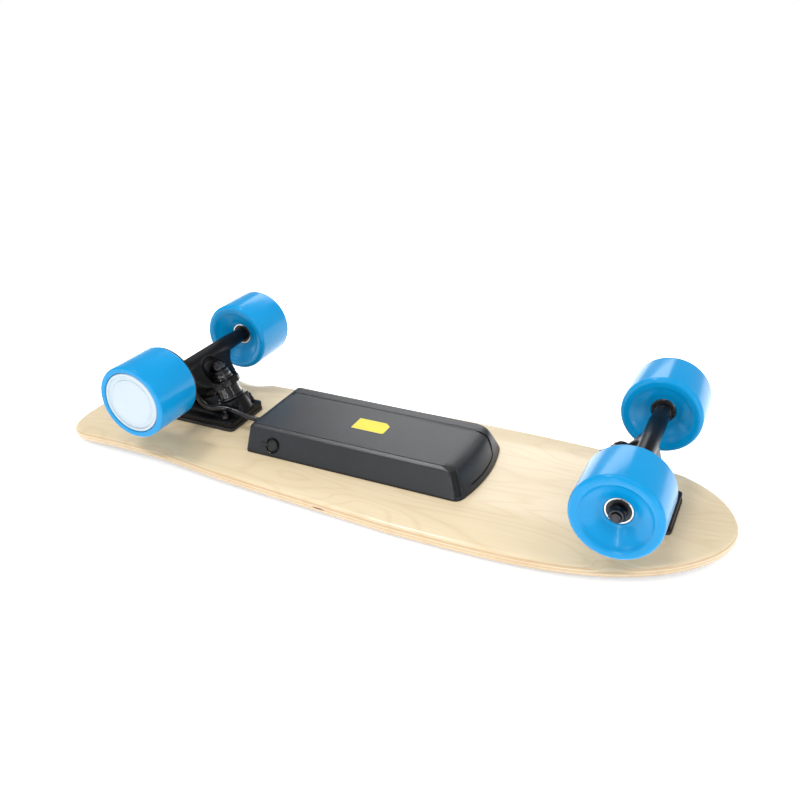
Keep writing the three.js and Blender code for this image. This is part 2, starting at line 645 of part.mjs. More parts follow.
function boxLoft(inset) {
  const widthAt = (z) => BOX_HALF_WIDTH - (BOX_HALF_WIDTH - SHOULDER_HALF_WIDTH) * (z / SHOULDER_HEIGHT);
  const start = inset > 0 ? LID_START - 1 : LID_START;
  const ring = (width, tail, nose, z, bulge) => (
    { shape: boxOutline(width, tail, nose, inset, bulge), z });
  return lofted([
    ring(widthAt(start), BOX_TAIL_X, BOX_NOSE_X, start, BOX_BULGE),
    ring(SHOULDER_HALF_WIDTH, BOX_TAIL_X + 1.6, SHOULDER_NOSE_X, SHOULDER_HEIGHT - inset * 0.8, 4),
    ring(SHOULDER_HALF_WIDTH - 1, BOX_TAIL_X + 2, SHOULDER_NOSE_X - 3, SHOULDER_HEIGHT + 2 - inset, 3),
    ring(PANEL_HALF_WIDTH, BOX_TAIL_X + 3.4, PANEL_NOSE_X, BOX_HEIGHT - inset, 3),
  ]);
}

// Directions on the sloping side walls: out of the wall, and up along it.
const WALL_SLOPE = Math.atan2(BOX_HALF_WIDTH - SHOULDER_HALF_WIDTH, SHOULDER_HEIGHT);
const PORT = { x: -84.6, height: 10, radius: 7.4, side: -1 };
const BUTTON = { x: -84.6, height: 10, radius: 6.4, side: 1 };

// A group whose +Y points out of the side wall, with its origin on the wall's surface.
function wallFrame({ x, height, side }) {
  const group = new THREE.Group();
  const y = side * (BOX_HALF_WIDTH - height * Math.tan(WALL_SLOPE));
  group.position.set(x, y, height);
  group.rotation.x = side > 0 ? WALL_SLOPE : Math.PI - WALL_SLOPE;
  group.updateMatrix();
  return group;
}

function wallHole(feature) {
  const hole = rod(feature.radius + GAP, -12, 12, 24);
  return hole.applyMatrix4(wallFrame(feature).matrix);
}

function enclosure(model) {
  const shell = cut(boxLoft(0), boxLoft(BOX_WALL));
  const cableHole = rod(4.8, -20, 20, 16).rotateZ(Math.PI / 2).translate(BOX_TAIL_X, -12, 11);
  const lid = cut(shell, wallHole(PORT), wallHole(BUTTON), cableHole);
  place(model, 'enclosure_lid', lid, FINISH.boxPlastic());
  const ring = boxOutline(BOX_HALF_WIDTH, BOX_TAIL_X, BOX_NOSE_X);
  ring.holes.push(boxOutline(BOX_HALF_WIDTH, BOX_TAIL_X, BOX_NOSE_X, 7));
  place(model, 'enclosure_gasket', extruded(ring, 0.1, GASKET_THICKNESS), FINISH.rubber());
  const grommet = turned([
    [CABLE_RADIUS + 0.4, -3], [6, -3], [6, -0.3], [4.5, -0.2], [4.5, 5], [CABLE_RADIUS + 0.4, 5],
    [CABLE_RADIUS + 0.4, -3],
  ], 16).rotateZ(-Math.PI / 2);
  place(model, 'cable_grommet', grommet, FINISH.rubber(), BOX_TAIL_X, -12, 11);
  place(model, 'label', labelPlate(), FINISH.label());
}

function labelPlate() {
  const shape = new THREE.Shape();
  const [x0, x1, y0, y1] = [-22.8, 12.6, -11, 11];
  shape.moveTo(x0, y0);
  shape.lineTo(x1 - 1.5, y0);
  shape.lineTo(x1, y0 + 1.5);
  shape.lineTo(x1, y1 - 5);
  shape.lineTo(x1 - 6, y1);
  shape.lineTo(x0, y1);
  shape.lineTo(x0, y0);
  return extruded(shape, BOX_HEIGHT + 0.05, BOX_HEIGHT + 0.3);
}

function battery(model) {
  const cells = 7;
  const [radius, pitch, z] = [9.2, 18.5, 10.4];
  const start = -78;
  const rows = [];
  for (let i = 0; i < cells; i += 1) {
    rows.push(rod(radius, -33, 33, 14).translate(start + i * pitch, 0, z));
  }
  const wrap = new THREE.BoxGeometry((cells - 1) * pitch, 65, radius * 1.3);
  wrap.translate(start + ((cells - 1) * pitch) / 2, 0, z);
  place(model, 'battery_pack', joined(wrap, ...rows), FINISH.cells());
}

function controller(model) {
  const block = (x0, x1, y0, y1, z0, z1) => new THREE.BoxGeometry(x1 - x0, y1 - y0, z1 - z0)
    .translate((x0 + x1) / 2, (y0 + y1) / 2, (z0 + z1) / 2);
  const fins = [];
  for (let i = 0; i < 5; i += 1) fins.push(block(51, 79, -20 + i * 9, -17 + i * 9, 6, 16.8));
  const parts = [block(46, 86, -32, 32, 3, 4.6), block(50, 80, -22, 22, 4, 7), ...fins];
  const capacitor = upright(rod(4.4, 4, 17.6, 12)).translate(66, -26.9, 0);
  place(model, 'controller_board', joined(...parts, capacitor), FINISH.board());
}

function chargePort(model) {
  const frame = wallFrame(PORT);
  model.add(frame);
  const r = PORT.radius;
  const socket = turned([
    [0, -9.6], [6.6, -9.6], [6.6, -2.8], [r, -2.8], [r, -0.6], [5.2, -0.6], [5.2, -8.6], [0, -8.6],
  ], 16);
  place(frame, 'charge_socket', socket, FINISH.plasticBlack());
  const disc = turned([
    [0, -2], [4.7, -2], [4.7, -0.3], [6.8, -0.3], [6.8, 0.9], [6, 1.6], [0, 1.6],
  ], 20);
  const strap = new THREE.BoxGeometry(7.5, 1.2, 3.6).translate(-9.1, 1, 0);
  place(frame, 'charge_cap', joined(disc, strap), FINISH.rubber());
}

function powerButton(model) {
  const frame = wallFrame(BUTTON);
  model.add(frame);
  const button = turned([
    [0, -5], [4, -5], [4, -2.6], [BUTTON.radius, -2.6], [BUTTON.radius, 0.6], [5.4, 1.2], [0, 1.2],
  ], 20);
  place(frame, 'power_button', button, FINISH.plasticBlack());
}

// ---------------------------------------------------------------- assembly

const board = new THREE.Group();
deck(board);
gripSheet(board);
mountingBolts(board);

const frontHanger = hanger(-HANGER_END_Y, HANGER_END_Y);
truck(board, 'front', FRONT_X, Math.PI, frontHanger.body, frontHanger.tools);
const rearHanger = hanger(MOTOR_HANGER_Y, HANGER_END_Y);
truck(board, 'rear', REAR_X, 0, rearHanger.body, rearHanger.tools);

place(board, 'front_axle', rod(AXLE_RADIUS, -AXLE_HALF_LENGTH, AXLE_HALF_LENGTH, 12), FINISH.steel(),
  FRONT_X, 0, AXLE_HEIGHT);
place(board, 'rear_axle', rod(AXLE_RADIUS, -20, AXLE_HALF_LENGTH, 12), FINISH.steel(),
  REAR_X, 0, AXLE_HEIGHT);

for (const [name, x, side] of [['front_left', FRONT_X, -1], ['front_right', FRONT_X, 1],
  ['rear_right', REAR_X, 1]]) {
  plainWheel(board, name, x, side);
  axleNut(board, `${name}_axle_nut`, x, side);
}
motorWheel(board);
motorCable(board);

enclosure(board);
battery(board);
controller(board);
chargePort(board);
powerButton(board);

board.updateMatrixWorld(true);
const lowest = new THREE.Box3().setFromObject(board, true).min.z;
board.position.z = -lowest;
board.updateMatrixWorld(true);

export default board;
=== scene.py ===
import json
import math

import bmesh
import bpy
import numpy as np
from mathutils import Matrix, Vector


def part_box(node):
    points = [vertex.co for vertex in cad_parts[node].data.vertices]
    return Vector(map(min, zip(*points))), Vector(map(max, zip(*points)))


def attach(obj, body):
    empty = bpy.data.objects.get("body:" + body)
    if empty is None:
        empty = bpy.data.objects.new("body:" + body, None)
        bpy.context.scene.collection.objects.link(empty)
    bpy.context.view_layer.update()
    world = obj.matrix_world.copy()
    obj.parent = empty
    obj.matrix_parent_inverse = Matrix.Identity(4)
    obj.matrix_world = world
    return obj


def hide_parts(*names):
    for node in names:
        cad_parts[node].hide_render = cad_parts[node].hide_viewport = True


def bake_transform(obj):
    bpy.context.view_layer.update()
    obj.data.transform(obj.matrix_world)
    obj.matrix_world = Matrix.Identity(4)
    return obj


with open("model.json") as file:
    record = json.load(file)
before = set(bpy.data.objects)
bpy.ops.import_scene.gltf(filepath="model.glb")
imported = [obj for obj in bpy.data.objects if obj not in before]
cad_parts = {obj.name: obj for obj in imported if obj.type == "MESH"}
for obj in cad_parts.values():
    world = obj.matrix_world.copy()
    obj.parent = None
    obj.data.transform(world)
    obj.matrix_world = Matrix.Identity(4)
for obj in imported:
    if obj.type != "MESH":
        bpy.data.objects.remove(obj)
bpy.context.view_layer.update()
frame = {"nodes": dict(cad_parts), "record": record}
scene = bpy.context.scene
BODY_OF = {n: b for b, ns in frame["record"]["behaviour"]["bodies"].items() for n in ns}
SLOT_OF = {s["node"]: s["material_slot"] for s in frame["record"]["subparts"]}

# ------------------------------------------------------------------ places, in millimetres

MM = 0.001
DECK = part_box("enclosure_gasket")[0].z / MM - 0.1  # the deck's underside
FRONT_X = sum(c.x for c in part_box("front_axle")) / 2 / MM
REAR_X = sum(c.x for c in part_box("rear_axle")) / 2 / MM
AXLE_Z = sum(c.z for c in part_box("front_axle")) / 2 / MM
NOSE_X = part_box("deck")[1].x / MM
TAIL_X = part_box("deck")[0].x / MM
KINGPIN_LEAN = math.radians(24)
SEAT = Vector((32.6, 0, 22.6))
KINGPIN = Vector((-math.sin(KINGPIN_LEAN), 0, math.cos(KINGPIN_LEAN)))
YOKE_MIDDLE, YOKE_HALF = 15.6, 4.0
YOKE_RISE = 2.4  # how far up the kingpin the board-side bushing stands in the yoke
YOKE = SEAT + KINGPIN * YOKE_MIDDLE
PIVOT = Vector((-16, 0, 17))
AXLE_HEIGHT = 58.9
WHEEL_Y, WHEEL_WIDTH, WHEEL_RADIUS = 83.7, 50.0, 35.0
MOTOR_Y, MOTOR_WIDTH = -77.9, 53.0
BOX_HALF_WIDTH, BOX_TAIL, BOX_NOSE = 52.0, -112.7, 112.3
DECK_THICKNESS = 9.4
PLIES = 7

# ------------------------------------------------------------------ camera, lights, floor

CAMERA_AT = Vector((0.33432, -0.62769, 0.41701 + DECK * MM))
HEADING, TILT, ROLL = math.radians(26.2), math.radians(27.19), math.radians(-1.341)
LENS = 39.25


def add_camera():
    data = bpy.data.cameras.new("camera")
    data.lens, data.sensor_width = LENS, 36
    data.clip_start, data.clip_end = 0.01, 50
    camera = bpy.data.objects.new("camera", data)
    scene.collection.objects.link(camera)
    ahead = Vector((-math.sin(HEADING) * math.cos(TILT), math.cos(HEADING) * math.cos(TILT), -math.sin(TILT)))
    level = Vector((math.cos(HEADING), math.sin(HEADING), 0))
    above = level.cross(ahead)
    right = level * math.cos(ROLL) + above * math.sin(ROLL)
    up = above * math.cos(ROLL) - level * math.sin(ROLL)
    turn = Matrix((right, up, -ahead)).transposed().to_4x4()
    camera.matrix_world = Matrix.Translation(CAMERA_AT) @ turn
    scene.camera = camera


def add_light(name, at, aim, size, power, tint=(1, 1, 1)):
    data = bpy.data.lights.new(name, "AREA")
    data.shape = "RECTANGLE"
    data.size, data.size_y = size
    data.energy, data.color = power, tint
    light = bpy.data.objects.new(name, data)
    scene.collection.objects.link(light)
    direction = Vector(aim) - Vector(at)
    light.matrix_world = Matrix.Translation(at) @ direction.to_track_quat("-Z", "Y").to_matrix().to_4x4()


def add_world():
    """White for the camera, an even wrap of light for matt surfaces and a darker room for reflections."""
    world = bpy.data.worlds.new("studio")
    scene.world = world
    world.use_nodes = True
    tree = world.node_tree
    tree.nodes.clear()
    link = tree.links.new

    def background(strength, tint=(1, 1, 1, 1)):
        made = tree.nodes.new("ShaderNodeBackground")
        made.inputs["Color"].default_value = tint
        made.inputs["Strength"].default_value = strength
        return made

    def either(flag, no, yes):
        made = tree.nodes.new("ShaderNodeMixShader")
        link(path.outputs[flag], made.inputs["Fac"])
        link(no.outputs[0], made.inputs[1])
        link(yes.outputs[0], made.inputs[2])
        return made

    path = tree.nodes.new("ShaderNodeLightPath")
    room = background(1.0)
    height = tree.nodes.new("ShaderNodeSeparateXYZ")
    shade = tree.nodes.new("ShaderNodeValToRGB")
    link(tree.nodes.new("ShaderNodeTexCoord").outputs["Generated"], height.inputs[0])
    link(height.outputs["Z"], shade.inputs["Fac"])
    link(shade.outputs["Color"], room.inputs["Color"])
    for element, (at, level) in zip(shade.color_ramp.elements, ((0.0, 0.5), (0.45, 0.24))):
        element.position, element.color = at, (level, level, level * 1.03, 1)
    out = tree.nodes.new("ShaderNodeOutputWorld")
    link(either("Is Camera Ray", either("Is Glossy Ray", background(1.18), room), background(1.0)).outputs[0],
         out.inputs[0])


# ------------------------------------------------------------------ materials


class Paint:
    """A node material being put together around one Principled shader."""

    def __init__(self, name, **values):
        self.material = bpy.data.materials.new(name)
        self.material.use_nodes = True
        self.tree = self.material.node_tree
        self.shader = self.tree.nodes["Principled BSDF"]
        for key, value in values.items():
            self.shader.inputs[key.replace("_", " ")].default_value = value
        self.place = self.node("ShaderNodeTexCoord").outputs["Object"]
        self.height = None

    def node(self, kind, links=None, **settings):
        made = self.tree.nodes.new(kind)
        for key, value in settings.items():
            if hasattr(made, key):
                setattr(made, key, value)
            else:
                made.inputs[key.replace("_", " ")].default_value = value
        for key, source in (links or {}).items():
            self.tree.links.new(source, made.inputs[key])
        return made

    def stretched(self, scale, place=None):
        """The place on the piece, scaled differently along each axis."""
        made = self.node("ShaderNodeMapping", {"Vector": place or self.place})
        made.inputs["Scale"].default_value = scale
        return made.outputs[0]

    def noise(self, scale, detail=3.0, roughness=0.5, place=None, distortion=0.0):
        made = self.node("ShaderNodeTexNoise", {"Vector": place or self.place}, Scale=scale, Detail=detail,
                         Roughness=roughness, Distortion=distortion)
        return made.outputs["Fac"]

    def ramp(self, source, *stops):
        made = self.node("ShaderNodeValToRGB", {"Fac": source})
        band = made.color_ramp
        while len(band.elements) < len(stops):
            band.elements.new(0.5)
        for element, (at, colour) in zip(band.elements, stops):
            element.position = at
            element.color = (*colour, 1) if isinstance(colour, tuple) else (colour, colour, colour, 1)
        return made.outputs["Color"]

    def math(self, operation, *values):
        made = self.node("ShaderNodeMath", operation=operation)
        for socket, value in zip(made.inputs, values):
            if isinstance(value, (int, float)):
                socket.default_value = value
            else:
                self.tree.links.new(value, socket)
        return made.outputs[0]

    def mix(self, factor, first, second, blend="MIX"):
        made = self.node("ShaderNodeMix", data_type="RGBA", blend_type=blend)
        values = (factor, *((c, c, c) if isinstance(c, float) else c for c in (first, second)))
        for index, value in zip((0, 6, 7), values):
            if isinstance(value, float):
                made.inputs[index].default_value = value
            elif isinstance(value, tuple):
                made.inputs[index].default_value = (*value, 1)
            else:
                self.tree.links.new(value, made.inputs[index])
        return made.outputs[2]

    def colour(self, source):
        self.tree.links.new(source, self.shader.inputs["Base Color"])
        return self

    def rough(self, source, low, high):
        made = self.node("ShaderNodeMapRange", {"Value": source}, To_Min=low, To_Max=high)
        self.tree.links.new(made.outputs[0], self.shader.inputs["Roughness"])
        return self

    def bump(self, source, strength, distance):
        links = {"Height": source}
        if self.height is not None:
            links["Normal"] = self.height
        made = self.node("ShaderNodeBump", links, Strength=strength, Distance=distance)
        self.height = made.outputs[0]
        self.tree.links.new(self.height, self.shader.inputs["Normal"])
        return self


def scaled(colour, share):
    return tuple(c * share for c in colour)


def maple():
    """Clear-coated maple: pale fibres, faint growth lines, and plies where the edge or a well cuts them."""
    p = Paint("maple", Roughness=0.38, Coat_Weight=0.35, Coat_Roughness=0.12)
    figure = p.noise(5.0, 1.0, 0.5, p.stretched((1.0, 4.2, 1.0)), 0.4)
    broad = p.noise(4.0, 2.0, 0.5, p.stretched((1.0, 7.0, 7.0)))
    rings = p.math("SINE", p.math("MULTIPLY", figure, 36.0))
    rings = p.math("POWER", p.math("ABSOLUTE", rings), 14.0)
    fibre = p.noise(95.0, 4.0, 0.65, p.stretched((0.16, 6.0, 6.0)))
    base = p.ramp(broad, (0.3, (0.555, 0.452, 0.292)), (0.7, (0.60, 0.50, 0.338)))
    base = p.mix(p.math("MULTIPLY", rings, 0.24), base, (0.46, 0.32, 0.16))
    base = p.mix(0.13, base, p.ramp(fibre, (0.3, (0.62, 0.5, 0.36)), (0.62, (1.0, 0.97, 0.9))), "MULTIPLY")
    ply = p.node("ShaderNodeAttribute", attribute_name="ply").outputs["Fac"]
    counted = p.math("DIVIDE", ply, DECK_THICKNESS / PLIES)
    layer = p.math("FRACT", counted)
    seam = p.ramp(layer, (0.0, 1.0), (0.1, 0.25), (0.2, 0.0), (0.84, 0.0), (1.0, 0.85))
    odd = p.math("GREATER_THAN", p.math("MODULO", counted, 2.0), 1.0)
    cut = p.math("GREATER_THAN", ply, 0.5)
    facing = p.node("ShaderNodeSeparateXYZ", {"Vector": p.node("ShaderNodeNewGeometry").outputs["Normal"]})
    wall = p.ramp(facing.outputs["Z"], (0.55, 1.0), (0.9, 0.3))
    crossed = p.mix(p.math("MULTIPLY", p.math("MULTIPLY", odd, wall), 0.6), base, (0.44, 0.27, 0.13))
    edge = p.mix(p.math("MULTIPLY", p.math("MULTIPLY", seam, wall), 0.55), crossed, (0.25, 0.11, 0.045))
    place = p.node("ShaderNodeSeparateXYZ", {"Vector": p.place}).outputs
    along = p.math("MULTIPLY", p.math("ADD", place["X"], 0.009), 170.0)
    deep = p.math("SUBTRACT", ply, 4.6)
    spread = p.math("ADD", p.math("MULTIPLY", along, along), p.math("MULTIPLY", deep, deep))
    spread = p.math("ADD", spread, p.math("MULTIPLY", fibre, 0.9))
    knot = p.math("MULTIPLY", p.math("LESS_THAN", spread, 1.4), p.math("LESS_THAN", place["Y"], -0.08))
    edge = p.mix(p.math("MULTIPLY", knot, 0.85), edge, (0.12, 0.03, 0.012))
    p.colour(p.mix(cut, base, edge))
    return p.rough(fibre, 0.3, 0.5).bump(fibre, 0.12, 0.0002).material


def grit():
    p = Paint("grip_grit", Specular_IOR_Level=0.35)
    grain = p.noise(2600.0, 2.0, 0.7)
    fleck = p.noise(1500.0, 1.0, 0.5)
    worn = p.noise(22.0, 3.0)
    p.colour(p.mix(p.ramp(fleck, (0.62, 0.0), (0.7, 1.0)), p.ramp(worn, (0.3, 0.012), (0.7, 0.024)), 0.07))
    return p.rough(grain, 0.65, 0.95).bump(grain, 0.9, 0.0006).material


def cast_black():
    """Thick glossy black paint over a sand casting: soft orange peel and faint cloudy changes of tone."""
    p = Paint("painted_casting", Specular_IOR_Level=0.15, Coat_Weight=0.1, Coat_Roughness=0.06)
    peel = p.noise(330.0, 2.0)
    cloud = p.noise(40.0, 3.0)
    p.colour(p.ramp(cloud, (0.3, (0.0035, 0.0036, 0.0042)), (0.7, (0.0065, 0.0067, 0.0075))))
    return p.rough(cloud, 0.28, 0.42).bump(peel, 0.14, 0.0003).material


def rubber(name="black_rubber", level=0.014, roughness=0.55):
    p = Paint(name)
    cloud = p.noise(60.0, 3.0)
    pores = p.noise(900.0, 2.0)
    low, high = (level * 0.8, level * 0.8, level * 0.84), (level * 1.3, level * 1.3, level * 1.36)
    p.colour(p.ramp(cloud, (0.3, low), (0.7, high)))
    return p.rough(cloud, roughness - 0.08, roughness + 0.08).bump(pores, 0.25, 0.0001).material


def box_plastic():
    """Spark-eroded mould grain on dark grey ABS, with a faint sheen and fine handling marks."""
    p = Paint("grained_plastic", Specular_IOR_Level=0.6)
    grain = p.noise(1500.0, 3.0, 0.7)
    pits = p.noise(620.0, 2.0, 0.6)
    cloud = p.noise(14.0, 3.0)
    base = p.ramp(cloud, (0.3, (0.0085, 0.0103, 0.0125)), (0.7, (0.0125, 0.0148, 0.0178)))
    base = p.mix(p.ramp(grain, (0.58, 0.0), (0.76, 0.4)), base, (0.06, 0.066, 0.074))
    p.colour(base)
    return p.rough(grain, 0.28, 0.44).bump(pits, 0.22, 0.0005).bump(grain, 0.3, 0.0002).material


def urethane():
    """Poured blue urethane: even colour with faint cloudiness, a glossy skin, light turning marks and a faint
    painted glow that lifts its shaded faces.
    """
    p = Paint("blue_urethane", Specular_IOR_Level=0.22, Coat_Weight=0.1, Coat_Roughness=0.03)
    cloud = p.noise(28.0, 3.0)
    p.colour(p.ramp(cloud, (0.3, (0.001, 0.198, 0.435)), (0.7, (0.002, 0.218, 0.47))))
    marks = p.noise(60.0, 2.0, 0.5, p.stretched((1.0, 24.0, 1.0)))
    # painted light: this faint blue glow brightens the wheels' inner faces that sit in shade
    p.shader.inputs["Emission Color"].default_value = (0.0, 0.12, 0.3, 1)
    p.shader.inputs["Emission Strength"].default_value = 0.22
    return p.rough(cloud, 0.17, 0.26).bump(marks, 0.05, 0.0001).material


def bushing():
    p = Paint("bushing_urethane", Specular_IOR_Level=0.15, Coat_Weight=1.0, Coat_Roughness=0.03)
    cloud = p.noise(90.0, 2.0)
    p.colour(p.ramp(cloud, (0.3, (0.005, 0.005, 0.0055)), (0.7, (0.010, 0.010, 0.011))))
    return p.rough(cloud, 0.18, 0.3).bump(cloud, 0.08, 0.0003).material


def metal(name, low, high, roughness, stretch=(1.0, 1.0, 1.0), scale=260.0):
    p = Paint(name, Metallic=1.0)
    lines = p.noise(scale, 3.0, 0.6, p.stretched(stretch))
    p.colour(p.ramp(lines, (0.3, low), (0.7, high)))
    return p.rough(lines, roughness * 0.75, roughness * 1.35).bump(lines, 0.08, 0.0001).material


def hub_white():
    p = Paint("white_lacquer", Coat_Weight=0.4, Coat_Roughness=0.08)
    cloud = p.noise(24.0, 3.0)
    p.colour(p.ramp(cloud, (0.3, (0.355, 0.43, 0.485)), (0.7, (0.39, 0.46, 0.515))))
    return p.rough(cloud, 0.22, 0.34).bump(p.noise(420.0, 2.0), 0.05, 0.0001).material


def printed(name, colour, roughness=0.4):
    p = Paint(name, Specular_IOR_Level=0.4)
    cloud = p.noise(55.0, 3.0)
    fibres = p.noise(800.0, 3.0)
    p.colour(p.ramp(cloud, (0.3, scaled(colour, 0.93)), (0.7, colour)))
    return p.rough(fibres, roughness - 0.08, roughness + 0.1).bump(fibres, 0.1, 0.0001).material


def cell_wrap():
    p = Paint("shrink_wrap", Coat_Weight=0.3, Coat_Roughness=0.2)
    folds = p.noise(140.0, 3.0, 0.6, p.stretched((0.4, 1.0, 1.0)), 0.8)
    p.colour(p.ramp(folds, (0.3, (0.01, 0.05, 0.19)), (0.7, (0.02, 0.08, 0.27))))
    return p.rough(folds, 0.2, 0.4).bump(folds, 0.5, 0.0006).material


def circuit():
    p = Paint("solder_resist", Coat_Weight=0.2, Coat_Roughness=0.2)
    traces = p.node("ShaderNodeTexBrick", {"Vector": p.place}, Scale=220.0, Mortar_Size=0.03).outputs["Fac"]
    cloud = p.noise(70.0)
    board = p.ramp(cloud, (0.3, (0.005, 0.06, 0.02)), (0.7, (0.008, 0.09, 0.03)))
    p.colour(p.mix(traces, board, (0.02, 0.16, 0.06)))
    return p.rough(cloud, 0.35, 0.5).bump(traces, 0.3, 0.0001).material


def winding():
    p = Paint("lacquered_wire", Metallic=0.8)
    wires = p.node("ShaderNodeTexWave", {"Vector": p.place}, Scale=420.0, Distortion=1.0).outputs["Fac"]
    p.colour(p.ramp(wires, (0.2, (0.16, 0.05, 0.018)), (0.8, (0.52, 0.2, 0.08))))
    return p.rough(wires, 0.3, 0.45).bump(wires, 0.8, 0.0004).material


MATERIALS = {
    "maple": maple(),
    "grip": grit(),
    "black_rubber": rubber(),
    "cast_black": cast_black(),
    "black_plastic": rubber("black_plastic", 0.02, 0.42),
    "box_plastic": box_plastic(),
    "urethane": urethane(),
    "bushing": bushing(),
    "steel": metal("ground_steel", (0.42, 0.42, 0.43), (0.68, 0.68, 0.69), 0.22),
    "black_steel": metal("black_oxide", (0.03, 0.03, 0.033), (0.062, 0.062, 0.067), 0.3),
    "hub_white": hub_white(),
    "winding": winding(),
    "cell_wrap": cell_wrap(),
    "circuit": circuit(),
    "label": printed("yellow_film", (0.60, 0.53, 0.03)),
}
LABEL_EDGE = printed("violet_print", (0.05, 0.045, 0.09))
GLOSS_BLACK = rubber("gloss_black", 0.002, 0.12)
# painted shade: the next material is a near-black stand-in laid on the box's groove and slot faces, where the
# grey plastic only lies in shade
GROOVE_SHADE = rubber("painted_groove_shade", 0.004, 0.6)
SHIELD = rubber("bearing_shield", 0.008, 0.5)
JACKET = rubber("cable_jacket", 0.008, 0.3)
CAP = rubber("cap_rubber", 0.008, 0.45)
MOTOR_BLACK = rubber("black_hard_coat", 0.01, 0.35)

# ------------------------------------------------------------------ shapes: (vertices, faces) in mm


def turned(profile, count=96):
    """A solid of revolution about Y from (radius, y) points. A profile either closes or ends on the axis."""
    closed = profile[0] == profile[-1]
    points = profile[:-1] if closed else profile
    rings, vertices = [], []
    for radius, y in points:
        if radius < 1e-6:
            rings.append([len(vertices)] * count)
            vertices.append((0, y, 0))
            continue
        rings.append(list(range(len(vertices), len(vertices) + count)))
        for k in range(count):
            angle = 2 * math.pi * k / count
            vertices.append((radius * math.sin(angle), y, radius * math.cos(angle)))
    faces = []
    pairs = zip(rings, rings[1:] + (rings[:1] if closed else []))
    for low, high in pairs:
        for k in range(count):
            n = (k + 1) % count
            loop = [low[k], low[n], high[n], high[k]]
            loop = [v for i, v in enumerate(loop) if v != loop[i - 1]]
            if len(loop) > 2:
                faces.append(loop)
    return np.array(vertices, float), faces


def rod(radius, low, high, count):
    """A plain cylinder about Y."""
    return turned([(0, low), (radius, low), (radius, high), (0, high)], count)


def raised(profile, by):
    """A (radius, y) profile moved along the axis."""
    return [(radius, y + by) for radius, y in profile]


def ring_faces(rings, count, closed=False):
    """The quads between neighbouring rings of count points. Closed rings join the last to the first."""
    faces = []
    for i in range(rings if closed else rings - 1):
        j = (i + 1) % rings
        for k in range(count):
            n = (k + 1) % count
            faces.append([i * count + k, i * count + n, j * count + n, j * count + k])
    return faces


def end_faces(rings, count):
    return [list(range(count))[::-1], list(range((rings - 1) * count, rings * count))]


def prism(outline, low, high, plane="xy"):
    """An outline in one plane given thickness along the third axis."""
    count = len(outline)
    order = {"xy": (0, 1, 2), "xz": (0, 2, 1), "yz": (1, 2, 0)}[plane]
    vertices = np.zeros((count * 2, 3))
    for level, at in enumerate((low, high)):
        block = slice(level * count, (level + 1) * count)
        vertices[block, order[0]] = [p[0] for p in outline]
        vertices[block, order[1]] = [p[1] for p in outline]
        vertices[block, order[2]] = at
    return vertices, end_faces(2, count) + ring_faces(2, count)


def swept(points, radius, sides=16):
    """A round tube along a path, with closed ends. radius may be one number or one for each point."""
    path = np.array(points, float)
    radii = np.broadcast_to(radius, len(path))
    ahead = np.gradient(path, axis=0)
    ahead /= np.linalg.norm(ahead, axis=1)[:, None]
    side = np.cross(ahead[0], (0.3, 0.2, 1.0))
    rings = []
    for at, direction, size in zip(path, ahead, radii):
        side = side - direction * np.dot(side, direction)
        side /= np.linalg.norm(side)
        other = np.cross(direction, side)
        angles = np.linspace(0, 2 * math.pi, sides, endpoint=False)
        rings.append(at + size * (np.cos(angles)[:, None] * side + np.sin(angles)[:, None] * other))
    return np.vstack(rings), ring_faces(len(path), sides) + end_faces(len(path), sides)


def smooth_path(points, count):
    """A Catmull-Rom curve through the points, sampled evenly in its parameter."""
    knots = np.array(points, float)
    knots = np.vstack([2 * knots[0] - knots[1], knots, 2 * knots[-1] - knots[-2]])
    spans = len(points) - 1
    out = []
    for s in np.linspace(0, spans, count):
        i = min(int(s), spans - 1)
        t = s - i
        a, b, c, d = knots[i:i + 4]
        out.append(0.5 * (2 * b + (c - a) * t + (2 * a - 5 * b + 4 * c - d) * t * t
                          + (3 * b - a - 3 * c + d) * t ** 3))
    return np.array(out)


def moved(shape, matrix):
    vertices, faces = shape
    m = np.array(matrix)
    out = vertices @ m[:3, :3].T + m[:3, 3]
    return (out, faces) if np.linalg.det(m[:3, :3]) > 0 else (out, [f[::-1] for f in faces])


def shifted(shape, x=0, y=0, z=0):
    return shape[0] + np.array((x, y, z), float), shape[1]


def together(*shapes):
    vertices, faces, base = [], [], 0
    for v, f in shapes:
        vertices.append(v)
        faces += [[i + base for i in loop] for loop in f]
        base += len(v)
    return np.vstack(vertices), faces


def aimed(origin, direction):
    """The matrix that lays something built about Y along a direction from a point."""
    turn = Vector((0, 1, 0)).rotation_difference(Vector(direction).normalized())
    return Matrix.Translation(Vector(origin)) @ turn.to_matrix().to_4x4()


UPRIGHT = Matrix.Rotation(math.pi / 2, 4, "X")
TRUCKS = {
    "rear": Matrix.Translation((REAR_X, 0, DECK)),
    "front": Matrix.Translation((FRONT_X, 0, DECK)) @ Matrix.Rotation(math.pi, 4, "Z"),
}
ON_KINGPIN = aimed(SEAT, KINGPIN)
ON_PIVOT = aimed(PIVOT, YOKE - PIVOT)
YOKE_AXES = Matrix(((KINGPIN.z, 0, -KINGPIN.x), (0, 1, 0), KINGPIN)).transposed()
ON_YOKE = Matrix.Translation(SEAT) @ YOKE_AXES.to_4x4()


def rounded_box(x0, x1, y0, y1, radius, steps=6):
    points = []
    for cx, cy, start in ((x1, y0, -90), (x1, y1, 0), (x0, y1, 90), (x0, y0, 180)):
        ox, oy = (-radius if cx == x1 else radius), (-radius if cy == y1 else radius)
        for k in range(steps + 1):
            a = math.radians(start + 90 * k / steps)
            points.append((cx + ox + radius * math.cos(a), cy + oy + radius * math.sin(a)))
    return points


def mesh_of(name, shape, scale=MM):
    vertices, faces = shape
    data = bpy.data.meshes.new(name)
    data.from_pydata([tuple(v) for v in np.asarray(vertices) * scale], [], faces)
    data.validate()
    return data


def outward(data):
    made = bmesh.new()
    made.from_mesh(data)
    bmesh.ops.recalc_face_normals(made, faces=made.faces)
    made.to_mesh(data)
    made.free()


